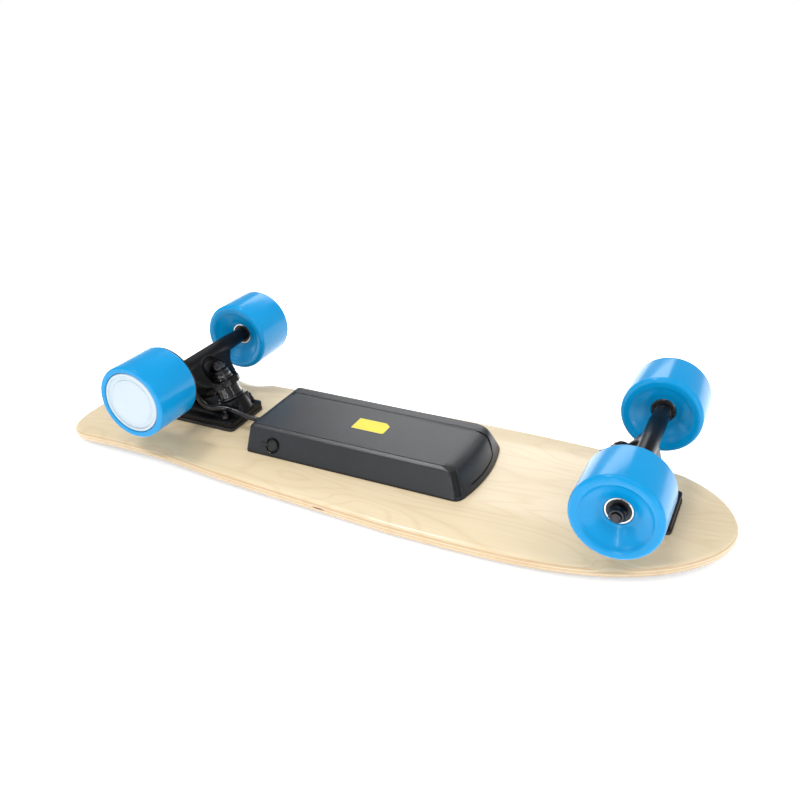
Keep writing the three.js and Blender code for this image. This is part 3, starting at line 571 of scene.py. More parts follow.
def object_of(name, shape):
    made = bpy.data.objects.new(name, mesh_of(name, shape))
    outward(made.data)
    scene.collection.objects.link(made)
    return made


def bake_modifiers(made):
    """Turns the object's modifiers into plain mesh."""
    view = bpy.context.evaluated_depsgraph_get()
    data = bpy.data.meshes.new_from_object(made.evaluated_get(view))
    made.modifiers.clear()
    made.data = data


def cut_away(made, *tools, cut_slot_index=0):
    """Cuts shapes out of an object. The last argument is the material slot of the cut faces."""
    for tool in tools:
        cutter = object_of("cutter", tool)
        for face in cutter.data.polygons:
            face.material_index = cut_slot_index
        modifier = made.modifiers.new("cut", "BOOLEAN")
        modifier.operation, modifier.object, modifier.solver = "DIFFERENCE", cutter, "EXACT"
        bake_modifiers(made)
        bpy.data.objects.remove(cutter)


def fused(name, parts, voxel, rounds, tools=(), carved=()):
    """Overlapping closed shapes melted into one casting with soft fillets.

    The carved shapes are taken out before the softening and the tools after it, with crisp edges.
    """
    made = object_of(name, together(*parts))

    def melt():
        remesh = made.modifiers.new("melt", "REMESH")
        remesh.mode, remesh.voxel_size = "VOXEL", voxel * MM

    melt()
    bake_modifiers(made)
    if carved:
        cut_away(made, *carved)
        melt()
    soften = made.modifiers.new("soften", "SMOOTH")
    soften.factor, soften.iterations = 0.5, rounds
    bake_modifiers(made)
    cut_away(made, *tools)
    return made


def ready(made, material, nodes=(), body=None, slot=None, crease=32, at=None):
    """Gives a piece its material, its body and the CAD nodes that it stands for."""
    data = made.data
    if not data.materials:
        data.materials.append(MATERIALS[material] if isinstance(material, str) else material)
    data.shade_smooth()
    data.set_sharp_from_angle(angle=math.radians(crease))
    if at is not None:
        made.location = Vector(at) * MM
    body = body or BODY_OF[nodes[0]]
    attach(made, body)
    if nodes:
        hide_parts(*nodes)
    return made


def piece(name, shape, material, nodes=(), **options):
    return ready(object_of(name, shape), material, nodes, **options)


def chamfered_hex(across, low, high, bore=0.0, chamfer=0.8):
    """A hexagonal nut about Y with turned-off corners and an optional hole, as one closed shape."""
    sides = 48
    corner = across / 2 / math.cos(math.pi / 6)
    angles = [2 * math.pi * k / sides for k in range(sides)]

    def loop(limit, y):
        radii = (min(across / 2 / math.cos((a % (math.pi / 3)) - math.pi / 6), limit) for a in angles)
        return [(r * math.sin(a), y, r * math.cos(a)) for r, a in zip(radii, angles)]

    rings = [loop(across / 2 - 0.1, low), loop(corner, low + chamfer * 0.7),
             loop(corner, high - chamfer * 0.7), loop(across / 2 - 0.1, high)]
    if bore:
        rings += [[(bore * math.sin(a), y, bore * math.cos(a)) for a in angles] for y in (high, low)]
    vertices = np.array([v for ring in rings for v in ring])
    faces = ring_faces(len(rings), sides, closed=bool(bore))
    return vertices, faces if bore else faces + end_faces(len(rings), sides)


def threaded(radius, low, high, pitch=0.8, depth=0.35):
    """A profile from the axis up a screw's outside and back to the axis."""
    profile = [(0, low), (radius - depth, low)]
    y = low + pitch / 2
    while y < high - pitch:
        profile += [(radius, y), (radius - depth, y + pitch / 2)]
        y += pitch
    return profile + [(radius - depth, high - 0.3), (radius - depth - 0.4, high), (0, high)]


# ------------------------------------------------------------------ deck and grip

HALF_WIDTH, WIDEST_X, TAPER, TAIL_CORNER = 98.7, 57.0, 19.0, 46.0
WAIST_DEPTH, WAIST_HALF = 3.5, 58.0
RAIL_DROP, KICK_DROP, FLAT_HALF, KICK_START = 6.0, 9.0, 42.0, -234.5
WELL_DEPTH, WELL_HALF, WELL_START = 3.2, 23.0, 62.0


def half_width(x):
    to_tail = max(0, (WIDEST_X - x) / (WIDEST_X - TAIL_X))
    to_nose = min(1, max(0, (x - WIDEST_X) / (NOSE_X - WIDEST_X)))
    corner = min(1, max(0, (TAIL_X + TAIL_CORNER - x) / TAIL_CORNER))
    waist = WAIST_DEPTH * math.exp(-((x - REAR_X) / WAIST_HALF) ** 2)
    return (HALF_WIDTH - TAPER * to_tail - waist) * (1 - to_nose ** 3.6) ** 0.54 * (1 - corner ** 2.7) ** 0.25


def drop(x, y):
    rail = max(0, abs(y) - FLAT_HALF) / (HALF_WIDTH - FLAT_HALF)
    kick = max(0, (KICK_START - x) / (KICK_START - TAIL_X)) ** 2
    return RAIL_DROP * rail ** 2 * (1 - kick) + KICK_DROP * kick


def well(x, y):
    out = min(1, max(0, (abs(y) - WELL_START) / 18))
    along = max(0, *(1 - ((x - axle) / WELL_HALF) ** 2 for axle in (REAR_X, FRONT_X)))
    return WELL_DEPTH * out * out * along


def stations():
    xs = [TAIL_X + TAIL_CORNER * (k / 20) ** 2 for k in range(21)]
    xs += list(np.arange(TAIL_X + TAIL_CORNER + 5, NOSE_X - 70, 5.0))
    start = xs[-1]
    return xs + [start + (NOSE_X - start) * math.sin(k / 26 * math.pi / 2) for k in range(1, 27)]


def sheet_shape(edge, columns=48):
    """A sheet with the deck's outline, from rings (inset, height function) that go round its edge."""
    xs = stations()
    across = np.linspace(-1, 1, columns + 1)
    vertices = []

    def point(i, share, ring):
        x = xs[i] * (1 - ring[0] / (NOSE_X - TAIL_X) * 2)
        w = 0 if i in (0, len(xs) - 1) else half_width(xs[i]) * (1 - ring[0] / HALF_WIDTH)
        return x, w * share, ring[1](x, w * share)

    rim = len(edge)
    width = 2 * (columns + 1) + 2 * (rim - 2)
    for i in range(len(xs)):
        loop = [point(i, s, edge[0]) for s in across]
        loop += [point(i, 1, ring) for ring in edge[1:-1]]
        loop += [point(i, s, edge[-1]) for s in across[::-1]]
        loop += [point(i, -1, ring) for ring in edge[-2:0:-1]]
        vertices += loop
    return np.array(vertices) + np.array((0, 0, DECK)), ring_faces(len(xs), width)


def clean(made, distance=0.02):
    tidy = bmesh.new()
    tidy.from_mesh(made.data)
    bmesh.ops.remove_doubles(tidy, verts=tidy.verts, dist=distance * MM)
    bmesh.ops.dissolve_degenerate(tidy, edges=tidy.edges, dist=1e-7)
    bmesh.ops.recalc_face_normals(tidy, faces=tidy.faces)
    tidy.to_mesh(made.data)
    tidy.free()


# the four bolts of a truck, along from its axle and across
BOLTS = [(x, y) for x in (-16, 38) for y in (-20.65, 20.65)]


def bolt_places():
    for end, axle, inward in (("rear", REAR_X, 1), ("front", FRONT_X, -1)):
        for index, (along, across) in enumerate(BOLTS):
            yield f"{end}_truck_bolt_{index + 1}", axle + inward * along, across


def rods_at(places, radius, low, high, count, z=0):
    """Upright rods at (x, y) places, as one shape."""
    upright = moved(rod(radius, low, high, count), UPRIGHT)
    return together(*(shifted(upright, x, y, z) for x, y in places))


def build_deck():
    top = lambda below: lambda x, y: -drop(x, y) - well(x, y) - below
    under = lambda above: lambda x, y: -drop(x, y) - DECK_THICKNESS + above
    quarter = [math.radians(a) for a in (0, 18, 36, 54, 72, 90)]
    edge = [(3 * (1 - math.sin(a)), under(2.6 * (1 - math.cos(a)))) for a in quarter]
    edge += [(4 * (1 - math.sin(a)), top(3 * (1 - math.cos(a)))) for a in quarter[::-1]]
    made = object_of("deck_plank", sheet_shape(edge))
    clean(made)
    places = [(x, y) for _, x, y in bolt_places()]
    cut_away(made, rods_at(places, 2.8, -14, 4, 24, DECK))
    ply = made.data.attributes.new("ply", "FLOAT", "POINT")
    depth = [-drop(v.co.x / MM, v.co.y / MM) - (v.co.z / MM - DECK) for v in made.data.vertices]
    ply.data.foreach_set("value", np.array(depth, np.float32))
    ready(made, "maple", ["deck"], crease=40)
    face = lambda below: lambda x, y: -drop(x, y) - DECK_THICKNESS - 0.3 - below
    grip = object_of("grip_tape", sheet_shape([(4.6, face(0.8)), (4.2, face(0.65)), (4.2, face(0))]))
    clean(grip)
    cut_away(grip, rods_at(places, 5, -14, 4, 24, DECK))
    ready(grip, "grip", ["grip_sheet"], crease=40)


def build_bolts():
    head = -DECK_THICKNESS - 0.9
    socket = raised([(0, 1.6), (1.5, 1.6), (1.5, 0), (4.2, 0), (4.5, 0.3), (4.5, 0.5), (2.45, 2.4),
                     (2.1, 2.6)], head)
    nut_low, nut_high = 9.5, 13.9
    body = threaded(2.45, 0, 19)[2:]
    shaft = turned(socket + [p for p in body if p[1] > 1], 24)
    nut = chamfered_hex(8, nut_low, nut_high, 2.5, 0.7)
    collar = turned(raised([(2.5, 0), (3.6, 0), (3.6, 0.9), (3.1, 1.5), (2.5, 1.5), (2.5, 0)], nut_high), 36)
    washer = turned([(2.5, 9.25), (4.9, 9.25), (4.9, 9.5), (2.5, 9.5), (2.5, 9.25)], 36)
    for name, x, y in bolt_places():
        turn = Matrix.Rotation(0.4 * x, 4, "Z")
        shape = moved(together(shaft, nut, collar, washer), turn @ UPRIGHT)
        piece(name + "_fine", shape, "black_steel", [name], at=(x, y, DECK), crease=28)


# ------------------------------------------------------------------ trucks


def side_slab(points, low, high):
    return prism(points, low, high, "xz")


def baseplate_parts():
    plate = prism(rounded_box(-30, 49, -27.5, 27.5, 3), 3.7, 9.4)
    seat = side_slab([(12, 8), (48, 8), (47.6, 11), (44.4, 27.4), (20.8, 17.0)], -12, 12)
    foot = side_slab([(6, 8), (48.6, 8), (47, 12.5), (18, 13.5)], -14.5, 14.5)
    dish = moved(turned([(0, -16), (15, -16), (13.4, -0.4), (0, -0.4)], 48), ON_KINGPIN)
    boss = side_slab([(-27, 8), (-4, 8), (-9.5, 14.5), (-14.5, 26), (-22.5, 24), (-27, 15)], -10.5, 10.5)
    ridge = side_slab([(-16, 8), (32, 8), (26, 13.4), (-10, 13.4)], -12, 12)
    ribs = [swept(smooth_path([(-26, side * 16, 8.6), (-14, side * 15.4, 10.6), (4, side * 15.6, 11.0),
                               (22, side * 16.5, 10.4), (33, side * 18, 8.6)], 40), 3.0) for side in (-1, 1)]
    pads = [shifted(moved(turned([(0, 8), (6, 8), (5.6, 9.8), (0, 9.8)], 32), UPRIGHT), x, y)
            for x, y in BOLTS]
    return [plate, seat, foot, dish, boss, ridge, *ribs, *pads]


def baseplate_tools():
    holes = rods_at(BOLTS, 2.75, 0, 20, 24)
    sockets = rods_at(BOLTS, 5.2, 9.25, 30, 32)
    cup = moved(rod(8.3, -6.3, 40, 40), ON_PIVOT)
    bore = moved(rod(5.1, -40, 20, 32), ON_KINGPIN)
    return [holes, sockets, cup, bore]


def web_outline():
    """The hanger's body seen from the front: wide along the axle, then sweeping in to the yoke."""
    right = raised([(44, 8), (44, -3), (41.5, -6), (37, -8.6), (32, -11.4), (28, -14.6), (24.6, -18.4),
                    (21, -22.5)], AXLE_HEIGHT)
    right += [(18.8, 33), (15.6, 27), (12, 20)]
    return right + [(-y, z) for y, z in right[::-1]]


def beam_shape(left, right):
    radii = ((0, 0.0), (6.8, 0.0), (7.3, 0.6), (7.4, 14), (8.0, 26))
    profile = [(r, left + y) for r, y in radii] + [(r, right - y) for r, y in radii[::-1]]
    return shifted(turned(profile, 64), z=AXLE_HEIGHT)


def build_truck(end, left, right):
    here = TRUCKS[end]

    def local(made):
        made.data.transform(Matrix.Scale(MM, 4) @ here @ Matrix.Scale(1 / MM, 4))
        return made

    def on_kingpin(shape):
        return moved(moved(shape, ON_KINGPIN), here)

    pad = object_of(f"{end}_riser_fine", prism(rounded_box(-30.8, 49.8, -28.3, 28.3, 5), 0.1, 3.4))
    edge = pad.modifiers.new("round", "BEVEL")
    edge.width, edge.segments, edge.limit_method = 0.5 * MM, 2, "ANGLE"
    bake_modifiers(pad)
    cut_away(pad, rods_at(BOLTS, 2.75, -2, 8, 24))
    ready(local(pad), "black_rubber", [f"{end}_riser_pad"])

    plate = fused(f"{end}_baseplate_fine", baseplate_parts(), 0.8, 5, baseplate_tools())
    ready(local(plate), "cast_black", [f"{end}_baseplate"], crease=50)

    cup = moved(turned([(0, -6), (7.4, -6), (8, -5.4), (8, 1.9), (7.4, 2.5), (5.9, 2.5), (5.4, 1.9), (5, 0),
                        (3.4, -4.6), (0, -5)], 48), ON_PIVOT)
    piece(f"{end}_pivot_cup_fine", moved(cup, here), "black_plastic", [f"{end}_pivot_cup"])

    top = YOKE_MIDDLE + YOKE_HALF
    washer = top + 0.3 + 9.4
    pin = turned([(0, -16), (4.8, -16)] + threaded(4.8, -15.9, washer + 9.7, 1.25, 0.5)[2:], 32)
    piece(f"{end}_kingpin_fine", on_kingpin(pin), "black_steel", [f"{end}_kingpin"])

    low = YOKE_MIDDLE - YOKE_HALF + YOKE_RISE
    barrel = turned([(5.1, 1.6), (10.8, 1.6), (12.0, 2.6), (12.2, 4.4), (11.6, 6.4), (11.9, 10.4),
                     (11.6, low - 1), (10.8, low - 0.35), (5.1, low - 0.35), (5.1, 1.6)], 64)
    bending(f"{end}_board_bushing_fine", on_kingpin(barrel), MATERIALS["bushing"],
            f"{end}_board_bushing")
    dish = turned([(5.1, 0.3), (12.6, 0.3), (13.4, 0.9), (13.4, 2.6), (12.9, 2.6), (12.4, 1.5), (5.1, 1.5),
                   (5.1, 0.3)], 64)
    piece(f"{end}_board_washer", on_kingpin(dish), "black_steel", body="board")

    cone = turned(raised([
        (5.1, 0.35), (9.9, 0.35), (10.5, 0.9), (10.55, 2.2), (10.2, 3.6), (9.7, 4.1), (9.7, 4.7), (9.95, 5.2),
        (9.6, 7.6), (9.2, 8.8), (8.8, 9.35), (5.1, 9.35), (5.1, 0.35)], top), 64)
    bending(f"{end}_road_bushing_fine", on_kingpin(cone), MATERIALS["bushing"], f"{end}_road_bushing")
    cap = turned(raised([(5.1, 0.05), (8.9, 0.05), (9.0, -0.6), (9.4, -0.6), (9.6, 0.2), (9.1, 1.25),
                         (5.1, 1.25), (5.1, 0.05)], washer), 64)
    piece(f"{end}_road_washer_fine", on_kingpin(cap), "black_steel", [f"{end}_road_washer"])
    nut = together(
        chamfered_hex(14.2, washer + 1.6, washer + 6.6, 4.9, 1.2),
        turned(raised([(4.9, 6.6), (6.6, 6.6), (6.6, 7.2), (6.1, 8.0), (4.9, 8.3), (4.9, 6.6)], washer), 48))
    piece(f"{end}_kingpin_nut_fine", on_kingpin(nut), "black_steel",
          [f"{end}_kingpin_nut"], crease=26)

    made = fused(f"{end}_hanger_fine", hanger_shapes(left, right), 0.8, 9, hanger_tools(left, right),
                 [niche()])
    ready(local(made), "cast_black", [f"{end}_hanger"], crease=50)


def between_profiles(side, front):
    """The solid that has one outline from the side and another from the front, as a stack of levels."""
    levels = np.arange(20.0, 66.0, 1.0)

    def span(outline, level):
        hits = []
        for (a, za), (b, zb) in zip(outline, outline[1:] + outline[:1]):
            if (za - level) * (zb - level) < 0:
                hits.append(a + (b - a) * (level - za) / (zb - za))
        return (min(hits), max(hits)) if len(hits) > 1 else None

    rings = []
    for z in levels:
        along, across = span(side, z + 0.013), span(front, z + 0.013)
        if along and across:
            square = 2 / np.interp(z, (30, 50), (5.0, 2.0))
            ring = []
            for a in np.linspace(0, 2 * math.pi, 64, endpoint=False):
                u, v = (math.copysign(abs(f(a)) ** square, f(a)) for f in (math.cos, math.sin))
                ring.append(((along[0] + along[1] + u * (along[1] - along[0])) / 2,
                             (across[0] + across[1] + v * (across[1] - across[0])) / 2, z))
            rings.append(ring)
    count = len(rings[0])
    vertices = np.array([v for ring in rings for v in ring])
    return vertices, end_faces(len(rings), count) + ring_faces(len(rings), count)


def hanger_shapes(left, right):
    side = [(-7.4, AXLE_HEIGHT - 2), (-12.5, 42), (-15.5, 30.5), (-9, 26.5), (YOKE.x - 11, YOKE.z - 9.4),
            (YOKE.x - 5, YOKE.z - 5.8), (YOKE.x + 3, YOKE.z + 5.2), (22.5, 47), (7.4, AXLE_HEIGHT + 1),
            (0, AXLE_HEIGHT + 5)]
    body = between_profiles(side, web_outline())
    low, high = YOKE_MIDDLE - YOKE_HALF, YOKE_MIDDLE + YOKE_HALF
    rim = [(-13, -17.6), (2, -17.4), (8.8, -14), (14.6, -5), (14.6, 5), (8.8, 14), (2, 17.4), (-13, 17.6)]
    yoke = moved(prism(rim, low, high + 0.4), ON_YOKE)
    spine = ((5, 15.6, 0.2), (-2, 16.8, 1.6), (-8, 18.2, 4.6), (-12, 19.4, 9))
    ribs = [moved(swept(smooth_path([(x, sign * y, high + z) for x, y, z in spine], 24), 2.0), ON_YOKE)
            for sign in (-1, 1)]
    nose = turned([(0, -4.6), (2.6, -3.8), (4.6, 0), (5.4, 6), (8.5, 14), (9, 26), (0, 26)], 48)
    return [beam_shape(left, right), body, yoke, moved(nose, ON_PIVOT), *ribs]


def scaled_across(shape, share):
    return shape[0] * np.array((1, share, 1)), shape[1]


def niche():
    """The hollow that the kingpin's nut and the road-side bushing stand in."""
    high = YOKE_MIDDLE + YOKE_HALF
    profile = [(0, high), (11.5, high), (12.3, 30), (12.3, 34), (11.6, 41), (9, 46), (5, 49), (0, 50)]
    return scaled_across(moved(turned(profile, 64), ON_KINGPIN), 1.32)


def hanger_tools(left, right):
    low = YOKE_MIDDLE - YOKE_HALF + YOKE_RISE
    bore = moved(rod(8, -4, 30, 48), ON_KINGPIN)
    room = moved(rod(19.5, -10, low, 64), ON_KINGPIN)
    axle = shifted(rod(4.3, left - 2, right + 2, 32), z=AXLE_HEIGHT)
    return [bore, room, axle]


def bending(name, shape, material, node, crease=40):
    """A soft piece baked in place in world space, with its CAD node hidden."""
    made = object_of(name, shape)
    made.data.materials.append(material)
    made.data.shade_smooth()
    made.data.set_sharp_from_angle(angle=math.radians(crease))
    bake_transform(made)
    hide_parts(node)


def build_axles():
    half = 106.3
    thread = threaded(4.0, 96, half, 1.25, 0.45)
    one_end = [(0, 0), (4.0, 0)] + thread[1:]
    left = turned([(r, -y) for r, y in one_end][::-1], 32)
    right = turned(one_end, 32)
    piece("front_axle_fine", together(left, right), "black_steel", ["front_axle"], at=(FRONT_X, 0, AXLE_Z))
    short = [(0, -20), (4.0, -20)] + thread[1:]
    piece("rear_axle_fine", turned(short, 32), "black_steel", ["rear_axle"], at=(REAR_X, 0, AXLE_Z))


# ------------------------------------------------------------------ wheels


def lip(radius, side, edge, steps):
    """A wheel's rounded rim: a quarter circle from its flat face to its tread."""
    angles = [math.radians(90 * k / steps) for k in range(steps + 1)]
    return [(WHEEL_RADIUS - radius * (1 - math.sin(a)), side * (edge - radius * (1 - math.cos(a))))
            for a in angles]


def around(shape, count, radius):
    """Copies of a shape in a circle about Y, as one shape."""
    angles = [2 * math.pi * k / count for k in range(count)]
    return together(*(shifted(shape, radius * math.sin(a), 0, radius * math.cos(a)) for a in angles))


def tyre_profile():
    """The plain wheel's section, outer side at -Y: rounded lip, flat band, crease, then a dish."""
    half = WHEEL_WIDTH / 2
    seat = 11.05
    inner = half - 12
    dish = raised([(30.0, 0.3), (28.0, 0.9), (27.2, 1.5), (26.4, 2.6), (24.0, 4.2), (20.0, 6.2), (16.4, 8.4),
                   (13.8, 10.4), (12.6, 11.0), (11.6, 11.2), (seat, 11.6)], -half)
    back = raised([(seat, -11.6), (11.6, -11.2), (13.0, -10.8), (15.0, -9.0), (18.4, -6.4), (22.4, -4.4),
                   (25.0, -2.9), (26.2, -1.6), (27.6, -0.8), (30.0, -0.3)], half)
    core = [(seat, inner - 7), (8.6, inner - 7), (8.6, -inner + 7), (seat, -inner + 7)]
    outline = dish[::-1] + lip(3.6, -1, half, 9) + lip(3.6, 1, half, 9)[::-1] + back[::-1] + core
    return outline + [outline[0]]


def bearing_shape(bore=4.1, radius=11.0, width=6.9):
    """Outer race, sunk shield and inner race of one ball bearing, built from y 0 to its width."""
    return turned([
        (bore, 0.2), (bore + 0.2, 0), (bore + 1.7, 0), (bore + 1.9, 0.45), (radius - 1.7, 0.45),
        (radius - 1.5, 0), (radius - 0.4, 0), (radius, 0.4),
        (radius, width - 0.4), (radius - 0.4, width), (radius - 1.5, width),
        (radius - 1.7, width - 0.45), (bore + 1.9, width - 0.45), (bore + 1.7, width), (bore + 0.2, width),
        (bore, width - 0.2), (bore, 0.2)], 72)


def build_bearing(name, node, at, turn, bore=4.1, radius=11.0, width=6.9):
    """A bearing whose shield has its own dark material."""
    made = object_of(name, moved(bearing_shape(bore, radius, width), turn))
    made.data.materials.append(MATERIALS["steel"])
    made.data.materials.append(SHIELD)
    for face in made.data.polygons:
        distance = math.hypot(face.center.x, face.center.z) / MM
        if bore + 1.75 < distance < radius - 1.55:
            face.material_index = 1
    ready(made, "steel", [node], at=at, crease=30)


def build_wheel(name, axle_x, side):
    turn = Matrix.Rotation(math.pi, 4, "Z") if side > 0 else Matrix.Identity(4)
    at = (axle_x, side * WHEEL_Y, AXLE_Z)
    piece(f"{name}_wheel_cast", moved(turned(tyre_profile(), 128), turn), "urethane", [f"{name}_tyre"],
          at=at, crease=40)
    inner = WHEEL_WIDTH / 2 - 12
    for place, y in (("outer", -inner), ("inner", inner - 6.9)):
        node = f"{name}_{place}_bearing"
        build_bearing(f"{node}_fine", node, at, turn @ Matrix.Translation((0, y, 0)))
    start = -inner - 0.3
    washer = [(4.1, 0), (6.1, 0), (6.2, -0.1), (6.2, -0.9), (6.1, -1), (4.1, -1), (4.1, 0)]
    collar = [(4.1, -5.82), (5.9, -5.82), (5.9, -6.8), (5.3, -7.9), (4.1, -7.9), (4.1, -5.82)]
    nut = together(turned(raised(washer, start), 48),
                   chamfered_hex(12.6, start - 5.8, start - 1.02, 4.1, 0.9),
                   turned(raised(collar, start), 48))
    piece(f"{name}_axle_nut_fine", moved(nut, turn), "black_steel", [f"{name}_axle_nut"], at=at, crease=26)


def build_motor_wheel():
    at = (REAR_X, MOTOR_Y, AXLE_Z)
    half = MOTOR_WIDTH / 2
    sleeve = raised([(29.3, 0.8), (29.8, 0.1), (30.4, 0)], -half)
    sleeve += lip(2.0, -1, half, 8) + lip(2.0, 1, half - 2.3, 8)[::-1]
    sleeve += [(29.3, half - 2.3), (29.3, -half + 0.8)]
    piece("motor_wheel_cast", turned(sleeve, 128), "urethane", ["motor_tyre"], at=at, crease=40)
    shell = [(26.2, -half + 5), (28.7, -half + 5), (29, -half + 5.3), (29, half - 2.6), (28.7, half - 2.3),
             (26.2, half - 2.3), (26.2, -half + 5)]
    piece("motor_rotor_fine", turned(shell, 96), "black_steel", ["motor_rotor_shell"], at=at)
    cover = raised([(0, 1.0), (8, 1.02), (15, 1.15), (21.6, 1.45), (22.4, 1.9), (23.2, 1.95), (25.4, 1.9),
                    (26.0, 1.5), (26.4, 0.75),
                    (27.0, 0.5), (28.2, 0.5), (28.8, 1.0), (28.8, 4.8), (12.6, 4.8), (12.6, 12),
                    (11.3, 12), (11.3, 4.4), (0, 4.4)], -half)
    piece("motor_cover_white", turned(cover, 128), "hub_white", ["motor_outer_cover"], at=at, crease=24)
    inner = raised([(12.1, -10), (14, -10), (14, -4.5), (26, -4.5), (26, -2), (33.2, -2), (33.6, -1.6),
                    (33.6, -0.4), (33.2, 0),
                    (30.4, 0), (29.8, -0.6), (18.4, -0.6), (17.6, 0), (12.6, 0), (12.1, -0.5),
                    (12.1, -10)], half)
    made = object_of("motor_side_plate", turned(inner, 128))
    cut_away(made, around(rod(2.2, half - 1.6, half + 3, 20), 8, 24))
    ready(made, MOTOR_BLACK, ["motor_inner_cover"], at=at, crease=30)
    head = turned(raised([(0, -1.55), (1.9, -1.55), (1.9, -0.9), (1.4, -0.5), (0.9, -0.5), (0.9, -1.1),
                          (0, -1.1)], half), 18)
    piece("motor_cover_screws", around(head, 8, 24), "black_steel", body="motor_wheel", at=at)
    build_bearing("motor_outer_bearing_fine", "motor_outer_bearing", at,
                  Matrix.Translation((0, -half + 4.9, 0)))
    build_bearing("motor_inner_bearing_fine", "motor_inner_bearing", at,
                  Matrix.Translation((0, half - 8, 0)), bore=6.3, radius=11.8, width=6.0)
    axle = [(0, -half + 4.9), (4, -half + 4.9), (4, -half + 12.4), (5.6, -half + 12.4), (6, -half + 12.8),
            (6, half + 1.2), (5.6, half + 1.6), (4, half + 1.6), (4, half + 28), (0, half + 28)]
    piece("motor_axle_fine", turned(axle, 48), "black_steel", ["motor_axle"], at=at)


# ------------------------------------------------------------------ cable

CABLE_RADIUS = 2.5
CABLE_ROUTE = [  # x from the rear axle, z from the deck's underside
    (7.8, -44.3, 54.4), (11, -44.2, 52.4), (14.6, -43, 49), (17.2, -40.3, 44.4), (18.5, -36.8, 39),
    (18.6, -33.2, 33.6), (18.4, -29.8, 28), (20.5, -26.6, 22.8), (25, -22.6, 19.4), (31, -18.3, 18.8),
    (38, -15.6, 18.2), (45, -15.3, 17.2), (52, -15.2, 15.6), (59, -14.4, 13.4), (66, -13, 11.8),
    (73, -12.2, 11.1), (81.5, -12, 11),
]
CABLE_ENTRY = (BOX_TAIL, -12, DECK + 11)


def build_cable():
    path = smooth_path([(REAR_X + x, y, DECK + z) for x, y, z in CABLE_ROUTE], 110)
    bending("motor_cable_fine", swept(path, CABLE_RADIUS, 24), JACKET, "motor_cable",
            50)
    grommet = turned([(2.9, -3), (5.2, -3), (6, -2.4), (6, -0.6), (5.6, -0.3), (4.5, -0.2), (4.5, 5),
                      (2.9, 5), (2.9, -3)], 48)
    piece("cable_grommet_fine", moved(grommet, Matrix.Rotation(-math.pi / 2, 4, "Z")), "black_rubber",
          ["cable_grommet"], at=CABLE_ENTRY)


# ------------------------------------------------------------------ box

def quadratic(a, b, c, count):
    t = np.linspace(0, 1, count, endpoint=False)[:, None]
    a, b, c = (np.array(p, float) for p in (a, b, c))
    return (1 - t) ** 2 * a + 2 * t * (1 - t) * b + t * t * c


def box_outline(w, tail, nose, bulge=7.0, corner=8.0, far=None):
    """The box's plan at one level as points, and how deep in the corner groove each of them is."""
    s = nose - bulge
    far = far or w
    straight = lambda a, b, n: np.linspace(a, b, n, endpoint=False)
    parts = [
        straight((tail + 4, -w), (s - corner, -w), 60),
        quadratic((s - corner, -w), (s - 1, -w), (s + 1, -w + corner), 40),
        quadratic((s + 1, -w + corner), (nose + bulge - 2, 0), (s + 1, far - corner), 72),
        quadratic((s + 1, far - corner), (s - 1, far), (s - corner, far), 40),
        straight((s - corner, far), (tail + 4, far), 60),
        quadratic((tail + 4, far), (tail, far), (tail, far - 4), 10),
        straight((tail, far - 4), (tail, -w + 4), 40),
        quadratic((tail, -w + 4), (tail, -w), (tail + 4, -w), 10),
    ]
    points = np.vstack(parts)
    groove = np.zeros(len(points))
    for start, flip, near in ((60, False, 1.0), (60 + 40 + 72, True, 0.0)):
        t = (np.arange(40) + 0.5) / 40
        t = 1 - t if flip else t
        groove[start:start + 40] = near * np.clip((t - 0.3) / 0.07, 0, 1) * np.clip((0.93 - t) / 0.07, 0, 1)
    return points, groove


# half width, tail, nose, bulge of the nose, corner, height, depth of the corner groove
BOX_LEVELS = [
    (51.9, -112.7, 112.3, 7.0, 8.0, 1.8, 0.0), (51.5, -112.7, 112.1, 7.0, 8.0, 2.6, 1.3),
    (48.9, -112.7, 109.0, 6.2, 7.8, 8.5, 1.7), (46.3, -112.7, 105.6, 5.4, 7.5, 14.4, 1.7),
    (44.7, -112.6, 103.2, 4.8, 7.3, 18.0, 1.6), (43.9, -112.6, 101.7, 4.5, 7.2, 19.8, 1.4),
    (43.2, -112.5, 99.9, 4.1, 7.0, 21.4, 1.0), (42.9, -112.4, 98.9, 3.9, 6.9, 21.9, 0.8),
    (42.2, -112.2, 97.2, 3.5, 6.6, 22.5, 0.3), (40.5, -111.7, 94.4, 3.2, 6.4, 23.42, 0.0),
    (39.4, -111.1, 92.0, 3.0, 6.2, 24.0, 0.0), (38.8, -110.5, 89.8, 3.0, 6.0, 24.3, 0.0),
    (37.8, -109.4, 87.4, 3.0, 6.0, 24.5, 0.0), (34.0, -104.0, 83.6, 3.0, 6.0, 24.5, 0.0),
    (24.0, -93.0, 73.0, 3.0, 6.0, 24.55, 0.0),
]


def box_surface():
    """The box's outside from its foot to the middle of its top, with its corner groove, and a mask of the
    groove faces that get painted shade.
    """
    rings, groove_shade_masks = [], []
    for w, tail, nose, bulge, corner, z, depth in BOX_LEVELS:
        far = np.interp(z, (1.8, 23.4, 24.0, 24.3), (51.9, 44.2, 43.8, 43.0)) if z < 24.4 else w + 4
        points, groove = box_outline(w, tail, nose, bulge, corner, far)
        # faces deep in the groove are marked for painted shade
        groove_shade_masks.append(groove * depth > 0.9)
        along = np.roll(points, -1, axis=0) - np.roll(points, 1, axis=0)
        along /= np.linalg.norm(along, axis=1)[:, None]
        inward = np.stack([-along[:, 1], along[:, 0]], axis=1)
        points = points + inward * (groove * depth)[:, None]
        rings.append(np.column_stack([points, np.full(len(points), z)]))
    count = len(rings[0])
    vertices = np.vstack(rings)
    faces = ring_faces(len(rings), count) + end_faces(len(rings), count)[1:]
    dark = [bool(cut_slot_index[k]) for cut_slot_index in groove_shade_masks[:-1] for k in range(count)] + [False]
    return (vertices + np.array((0, 0, DECK)), faces), dark


